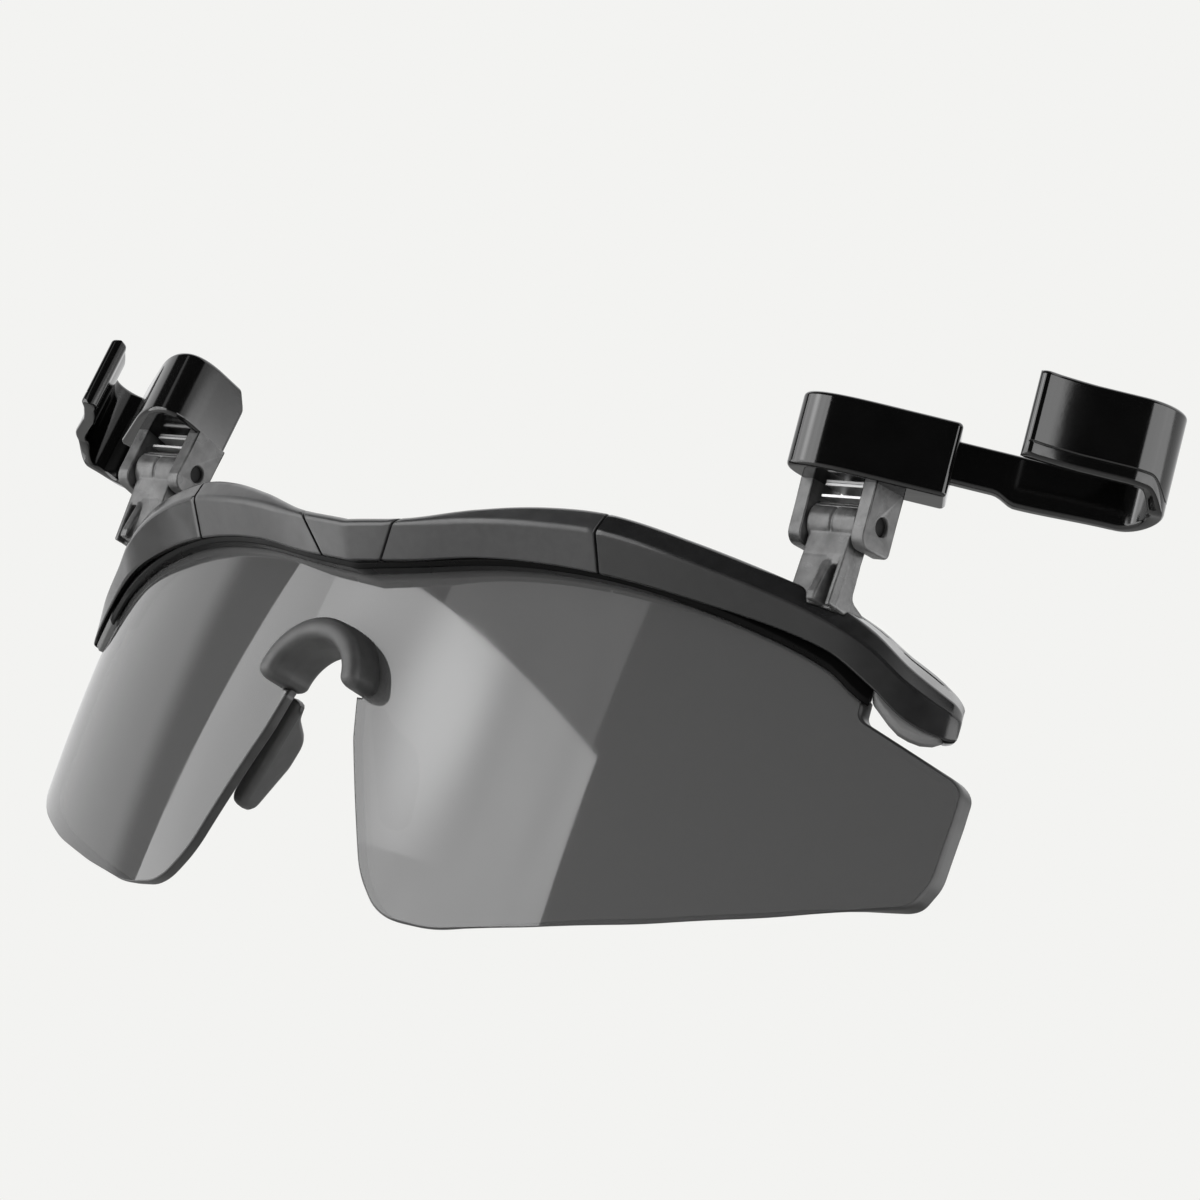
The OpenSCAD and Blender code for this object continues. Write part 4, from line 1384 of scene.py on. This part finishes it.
@dataclass(frozen=True)
class BrimClip:
    """A hinged box with a sliding bar that ends in the brim's hook."""

    side: Side
    lean: float
    axis: Vector
    rows: GeometryTree
    knuckle_width: float = 7.2
    lug: float = 1.9
    yaw: float = 37.0
    low: float = 4.5
    height: float = 9.1
    flat: float = 14.5
    deep: float = 7.2
    nose: float = 4.3
    edge: float = 0.55
    bar: float = 2.0
    bar_height: float = 5.1
    bar_inset: float = 2.9
    bar_start: float = 1.6
    play: float = 0.15
    hook_start: float = 7.2
    hook_length: float = 17.5
    hook_height: float = 10.3
    hook_rise: float = 3.0
    hook_thick: float = 1.8
    brim_gap: float = 3.7
    flare: float = 1.2
    flare_length: float = 7.0
    flare_power: float = 1.3
    tip: float = 1.0
    bead: float = 0.36
    line: float = 0.16
    line_from: Point2 = (66, 76)  # numbers of the stations between which the moulding line starts
    line_until: Point2 = (146, 150)
    window: Point2 = (3.2, 13.1)
    pin_hole: float = 1.12
    chamfer_angle: float = 42.0

    @property
    def lug_middle(self) -> float:
        """Return the half width across both lugs."""
        return self.knuckle_width / 2 + 0.15 + self.lug

    @property
    def along(self) -> Vector:
        """Return the bar's direction in the clip's plan."""
        return Vector(polar(1.0, math.radians(self.yaw)))

    @property
    def flat_start(self) -> Vector:
        """Return where the box's flat front starts, in the clip's plan."""
        d = self.along
        return Vector((-self.lug_middle + self.nose, -4.3)) + self.nose * Vector((d.y, -d.x))

    @property
    def bar_low(self) -> float:
        """Return the bar's lower edge above the hinge axis."""
        return self.low + (self.height - self.bar_height) / 2 + 0.5

    def at_hinge(self) -> Matrix:
        """Return the matrix from the clip's own axes to the frame."""
        return self.side.mirror @ Matrix.Translation(self.axis) @ turned(-self.lean, "X")

    def at_bar(self) -> Matrix:
        """Return the matrix from axes along the bar to the frame."""
        return self.at_hinge() @ Matrix.Translation((*self.flat_start, 0)) @ turned(self.yaw, "Z")

    def plan(self) -> list[Point2]:
        """Work out the box's outline in plan.

        Returns:
            Points of the outline.
        """
        d, back = self.along, 2.6
        start, stop = Vector((-self.lug_middle, -3.3)), self.flat_start + 4.5 * d
        corner = stop - (stop.x + self.lug_middle) / d.x * d
        near, far = start + (corner - start) * 0.63, stop + (corner - stop) * 0.63
        arc = [start * (1 - t) ** 3 + near * 3 * t * (1 - t) ** 2 + far * 3 * t**2 * (1 - t) + stop * t**3
               for t in spaced(0, 1, 32)]
        end = self.flat_start + self.flat * d
        rear = end + self.deep * Vector((-d.y, d.x))
        inner = rear - (rear.y - back) / d.y * d
        corners = (arc[0], arc[-1], end, rear, inner, Vector((-self.lug_middle, back)))
        rounded = fillet([c.to_tuple() for c in corners], [0.001, 0.001, 0.7, 0.8, 1.2, 0.8])
        return [p.to_tuple() for p in arc] + rounded[10:]

    def lug_shape(self, x: float) -> Shape:
        """Return one lug with its pin hole.

        Args:
            x: The lug's start along X.

        Returns:
            The lug.
        """
        top = self.low + 0.6
        outline = fillet([(-3.0, top), (-3.0, -3.3), (2.6, -3.3), (2.6, top)], [0.05, 1.7, 0.8, 0.05], 5)
        return along_x(outline, x, x + self.lug, 0.22, [circle(self.pin_hole, 28)])

    def housing(self) -> Object:
        """Make the box with its lugs, the bar's channel and the rear seat.

        Returns:
            The box.
        """
        place, bar, top = self.at_hinge(), self.at_bar(), self.low + self.height
        box = prism(self.plan(), self.low, top, self.edge, steps=4).moved(place)
        piece = box.to_object(f"clip_box_{self.side.word}")
        corner = Matrix.Translation((-self.lug_middle - 1, 2.6, top - 2.8)) @ turned(self.chamfer_angle, "X")
        chamfer = block((0, 0, 0), (12, 8, 8)).moved(place @ corner)
        channel = block((self.bar_start - self.play, self.bar_inset - self.play, self.bar_low - self.play),
                        (self.flat + 2, self.bar_inset + self.bar + self.play,
                         self.bar_low + self.bar_height + self.play))
        seat = block((2.1, self.deep - 1.2, self.low + 1), (self.flat - 1.5, self.deep + 1, top - 1))
        cut(piece, [chamfer, channel.moved(bar), seat.moved(bar)])
        lugs = Shape()
        for x in (-self.lug_middle, self.lug_middle - self.lug):
            lugs.add(self.lug_shape(x), 1)
        ears = lugs.moved(place).to_object("ears")
        joined = bmesh.new()
        for obj in (piece, ears):
            joined.from_mesh(obj.data)
        joined.to_mesh(piece.data)
        joined.free()
        bpy.data.meshes.remove(ears.data)
        return piece

    def strip(self) -> list[Station]:
        """Work out the hook's centreline from the bar's inner end to the hook's free end.

        Returns:
            The stations in order.
        """
        outer_y, front = self.bar_inset + self.bar, -self.brim_gap - self.hook_thick
        radius, middle = (outer_y - front) / 2, (outer_y + front) / 2
        free = self.flat + self.hook_start
        turn_x = free + self.hook_length - radius
        base, wall = self.bar_low, self.bar_low + self.hook_rise
        top = wall + self.hook_height
        back, ahead = Vector((0, -1)), Vector((0, 1))

        def crest(x: float) -> float:
            """Return the upper edge's height where the bar grows into the hook."""
            grown = ease(x, turn_x - 4.2, turn_x + 1.6)
            return base + self.bar_height + (top - base - self.bar_height) * grown

        out = []
        for x in spaced(self.bar_start, turn_x, 60):
            thick = between(self.bar, self.hook_thick, ease(x, free, turn_x))
            dip = -1.0 * ease(x, free - 2.2, free + 0.6) + 0.4 * ease(x, free + 0.6, turn_x)
            out.append(Station(Vector((x, outer_y)), back, thick, base + dip, crest(x)))
        for a in spaced(0, math.pi, 48)[1:]:
            ray, deg = Vector((math.sin(a), math.cos(a))), math.degrees(a)
            low = base - 0.6 + 1.5 * ease(deg, 0, 95) + (wall - base - 0.9) * ease(deg, 105, 150)
            high = top if deg > 25 else crest(turn_x + radius * math.sin(a))
            out.append(Station(Vector((turn_x, middle)) + ray * radius, -ray, self.hook_thick, low, high))
        for x in spaced(turn_x, free + self.tip, 40)[1:]:
            s = max(0.0, (free + self.flare_length - x) / (self.flare_length - self.tip))
            bead = self.bead * ease(x, free + 2.6, free + 1.1) if x < free + 2.6 else 0.0
            y = front - self.flare * s**self.flare_power - bead / 2
            out.append(Station(Vector((x, y)), ahead, self.hook_thick + bead, wall, top))
        full = self.hook_thick + self.bead
        for a in spaced(0, math.pi / 2, 5)[1:]:
            thick = full * max(0.08, math.cos(a))
            end = Vector((free + self.tip - self.tip * math.sin(a),
                          front - self.flare - self.bead / 2 + full / 2 - thick / 2))
            out.append(Station(end, ahead, thick, wall, top))
        return out

    def hook_ring(self, station: Station, line: float) -> Ring:
        """Return the hook's rounded section at a station.

        Args:
            station: Station of the centreline.
            line: Depth of the moulding line on the outer face.

        Returns:
            The ring's points.
        """
        low, high, thick = station.low, station.high, station.thick
        r, groove = min(0.5, thick * 0.42), low + 1.75
        corners = [(0.0, low), (0.0, groove - self.line), (line, groove), (0.0, groove + self.line),
                   (0.0, high), (thick, high), (thick, low)]
        section = fillet(corners, [r, 0.05, 0.05, 0.05, r, r, r])
        return [Vector((*(station.outer + station.inwards * t), z)) for t, z in section]

    def hook(self) -> Object:
        """Make the sliding bar with its hook and window.

        Returns:
            The bar.
        """
        rings = []
        for number, station in enumerate(self.strip()):
            line = self.line * ease(number, *self.line_from) * (1 - ease(number, *self.line_until))
            rings.append(self.hook_ring(station, line))
        piece = loft(rings).moved(self.at_bar()).to_object(f"brim_hook_{self.side.word}")
        window = block((self.window[0], self.bar_inset - 1, self.bar_low + 1.1),
                       (self.window[1], self.bar_inset + self.bar + 1, self.bar_low + 4.0))
        return cut(piece, [window.moved(self.at_bar())])

    def screw(self) -> Shape:
        """Make a slotted screw, whose head stands on the origin's height and faces +Z.

        Returns:
            The screw.
        """
        shape = prism(circle(0.38, 16), -1.4, 0.05, 0.05).add(prism(circle(0.85, 28), 0.0, 0.26, 0.06))
        for sign in (1, -1):
            moon = [(0.82 * math.cos(a), sign * max(0.12, 0.82 * math.sin(a)))
                    for a in map(math.radians, spaced(8, 172, 14))]
            shape.add(prism(moon[::sign], 0.2, 0.45, 0.07))
        return shape

    def build(self) -> None:
        """Make the clip's pieces and hand them over."""
        word = self.side.word
        clip, hook = f"clip_{word}", f"hook_{word}"
        hand_over(self.housing(), [Finish.GLOSS_BLACK, Finish.MOTTLED_GREY], clip, "clip_black",
                  f"clip_housing_{word}", sharp=34)
        hand_over(self.hook(), [Finish.GLOSS_BLACK], hook, "clip_black", f"clip_hook_{word}", sharp=50)
        screws = self.rows.run(self.screw().to_object(f"rear_screws_{word}"),
                               Material=Finish.STEEL.material(), Count=2, First=(3.5, self.low + 1.9, 0.0),
                               Last=(self.flat - 6.4, self.height - 3.8, 0.0))
        stand = Matrix(((1, 0, 0, 0), (0, 0, 1, self.deep), (0, 1, 0, 0), (0, 0, 0, 1)))
        screws.data.transform(self.at_bar() @ stand)
        if self.side is Side.LEFT:
            screws.data.flip_normals()
        hand_over(screws, [Finish.STEEL], clip, "steel", f"cover_screws_{word}")
        # The hinge pin and the springs take steel painted dark: painted shade in the pin hole and in the
        # recesses they sit in.
        for node, finish in (("housing_cover", Finish.LIP_BLACK), ("hinge_pin", Finish.PIN_SHADE_STEEL),
                             ("detent_spring", Finish.SPRING_STEEL_PAINTED_SHADE), ("return_spring", Finish.SPRING_STEEL_PAINTED_SHADE),
                             ("travel_stop", Finish.STEEL)):
            dress(f"{node}_{word}", finish)


# Studio


def panel(name: str, corners: Sequence[Sequence[float]], material: Material) -> Object:
    """Lay a flat stage panel of one material.

    Args:
        name: The panel's name.
        corners: Its corners in order.
        material: Its material.

    Returns:
        The panel.
    """
    mesh = bpy.data.meshes.new(name)
    mesh.from_pydata([tuple(c) for c in corners], [], [tuple(range(len(corners)))])
    mesh.materials.append(material)
    obj = new_object(name, mesh)
    return obj


@dataclass(frozen=True)
class SoftBox:
    """An upright soft box that faces the object and shows in its gloss.

    Its corners are given along its width, from the point that faces the object, and in height.
    """

    name: str
    azimuth: float
    corners: tuple[Point2, ...]
    light: float
    distance: float = 1.2
    cloud: float = 0.12
    hot_place: Point2 = (0.0, 0.0)
    hot_reach: float = 0.1
    hot_extra: float = 0.0

    def at(self, across: float, height: float) -> Vector:
        """Return a point of the box's face.

        Args:
            across: Distance along the width from the point that faces the object.
            height: Height of the point.

        Returns:
            The point.
        """
        a = math.radians(self.azimuth)
        ahead, wide = Vector((math.sin(a), -math.cos(a), 0)), Vector((math.cos(a), math.sin(a), 0))
        return ahead * self.distance + wide * across + Vector((0, 0, height))

    def cloth(self) -> Material:
        """Make the glowing cloth, cloudy and with one brighter spot.

        Returns:
            The cloth's material.
        """
        material = bpy.data.materials.new(f"{self.name}_cloth")
        nodes = bare(material)
        coords = nodes.value("ShaderNodeTexCoord", output="Object")
        cloud = nodes.value("ShaderNodeTexNoise", {"Vector": coords, "Scale": 2.6, "Detail": 1.5})
        level = nodes.spread(cloud, self.light * (1 - self.cloud), self.light * (1 + self.cloud))
        away = nodes.value("ShaderNodeVectorMath", {0: coords, 1: self.at(*self.hot_place)}, "Value",
                           operation="DISTANCE")
        spot = nodes.spread(away, self.hot_extra, 0.0, 0.0, self.hot_reach, "SMOOTHERSTEP")
        glow = nodes.value("ShaderNodeEmission", {"Strength": nodes.maths("ADD", level, spot)})
        nodes.node("ShaderNodeOutputMaterial", {"Surface": glow})
        return material

    def build(self) -> None:
        """Make the soft box."""
        obj = panel(self.name, [self.at(*c) for c in self.corners], self.cloth())
        obj.visible_camera = obj.visible_shadow = obj.visible_transmission = False


@dataclass(frozen=True)
class Studio:
    """Pale floor, soft boxes and the camera at the photograph's angle."""

    backdrop: Colour = (0.896, 0.896, 0.880)
    floor_height: float = -0.80
    floor_size: float = 30.0
    floor_colour: Colour = (0.82, 0.82, 0.81)
    floor_glow: float = 1.04
    floor_share: float = 0.93
    boxes: tuple[SoftBox, ...] = (
        SoftBox("soft_box_front", -48.0, ((-0.12, 0.13), (1.42, 0.13), (1.42, 0.455), (-0.12, 0.455)), 4.3,
                hot_place=(0.54, 0.33), hot_reach=0.34, hot_extra=4.2),
        SoftBox("soft_box_low", -48.0, ((-0.12, -0.78), (1.42, -0.78), (1.42, 0.13), (-0.12, 0.13)), 4.3),
        SoftBox("soft_box_left", -48.0, ((-1.15, -0.78), (-0.12, -0.78), (-0.12, 0.455), (-0.30, 0.455),
                                         (-0.52, 0.13)), 3.2),
        SoftBox("soft_box_above", -48.0, ((0.36, 0.455), (1.36, 0.455), (1.36, 0.80), (0.36, 0.80)), 0.9),
        SoftBox("soft_box_side", 96.0, ((-0.80, -0.16), (2.00, -0.16), (2.00, 0.455), (-0.80, 0.455)), 3.9),
    )
    fill: float = 0.42
    lens: float = 150.0
    sensor: float = 36.0
    camera_place: tuple[float, float, float] = (0.4207, -0.40776, -0.13667)
    camera_right: tuple[float, float, float] = (0.74679, 0.58735, 0.31197)
    camera_down: tuple[float, float, float] = (0.07032, 0.39671, -0.91524)
    camera_ahead: tuple[float, float, float] = (-0.66133, 0.70543, 0.25496)

    def camera(self) -> None:
        """Place the camera."""
        data = bpy.data.cameras.new("camera")
        data.lens, data.sensor_width = self.lens, self.sensor
        data.clip_start, data.clip_end = 0.01, 100.0
        axes = Matrix((Vector(self.camera_right), -Vector(self.camera_down), -Vector(self.camera_ahead)))
        obj = new_object("camera", data)
        obj.matrix_world = Matrix.Translation(self.camera_place) @ axes.transposed().to_4x4()
        bpy.context.scene.camera = obj

    def world(self) -> None:
        """Light the surroundings: pale to the camera, dark in front and bright behind in reflections."""
        world = bpy.context.scene.world = bpy.data.worlds.new("studio")
        nodes = bare(world)
        path = nodes.node("ShaderNodeLightPath").outputs
        coords = nodes.value("ShaderNodeTexCoord", output="Generated")
        split = nodes.node("ShaderNodeSeparateXYZ", {0: coords}).outputs
        back = nodes.spread(split["Y"], 0.035, 0.95, -0.26, -0.13, "SMOOTHSTEP")
        above = nodes.spread(split["Z"], 1.0, 2.2, 0.35, 0.8, "SMOOTHSTEP")
        seen, shine, fill = (
            nodes.value("ShaderNodeBackground", {"Color": (*colour, 1), "Strength": strength})
            for colour, strength in ((self.backdrop, 1.0), ((1, 1, 1), nodes.maths("MULTIPLY", back, above)),
                                     ((1, 1, 1), self.fill)))
        gloss = nodes.value("ShaderNodeMixShader", {0: path["Is Glossy Ray"], 1: fill, 2: shine})
        direct = nodes.maths("MAXIMUM", path["Is Camera Ray"], path["Is Transmission Ray"])
        total = nodes.value("ShaderNodeMixShader", {0: direct, 1: gloss, 2: seen})
        nodes.node("ShaderNodeOutputWorld", {"Surface": total})

    def floor(self) -> None:
        """Lay the pale floor, which keeps the object's soft shadow."""
        material = bpy.data.materials.new("pale_floor")
        nodes = bare(material)
        seen = nodes.value("ShaderNodeLightPath", output="Is Camera Ray")
        share = nodes.maths("MULTIPLY", seen, self.floor_share)
        diffuse = nodes.value("ShaderNodeBsdfDiffuse", {"Color": (*self.floor_colour, 1)})
        glow = nodes.value("ShaderNodeEmission", {"Color": (*shade(self.backdrop, self.floor_glow), 1)})
        mixed = nodes.value("ShaderNodeMixShader", {0: share, 1: diffuse, 2: glow})
        nodes.node("ShaderNodeOutputMaterial", {"Surface": mixed})
        s, z = self.floor_size / 2, self.floor_height
        panel("floor", [(-s, -s, z), (s, -s, z), (s, s, z), (-s, s, z)], material)

    def build(self) -> None:
        """Set up the whole studio."""
        self.camera()
        self.world()
        self.floor()
        for box in self.boxes:
            box.build()
        bpy.context.scene.view_settings.view_transform = "Standard"


def main() -> None:
    """Build the studio and every sub-assembly."""
    logging.basicConfig(level=logging.INFO, format="%(name)s: %(message)s")
    Studio().build()
    ribs, rows = rib_tree(), row_tree()
    posts = {side: HingePost(side, ribs) for side in Side}
    Brow().build(posts)
    Shield().build()
    NoseSaddle().build()
    leans = {Side.LEFT: -5.5, Side.RIGHT: 8.0}
    for side, post in posts.items():
        post.build()
        BrimClip(side, leans[side], post.axis, rows).build()


if __name__ == "__main__":
    main()
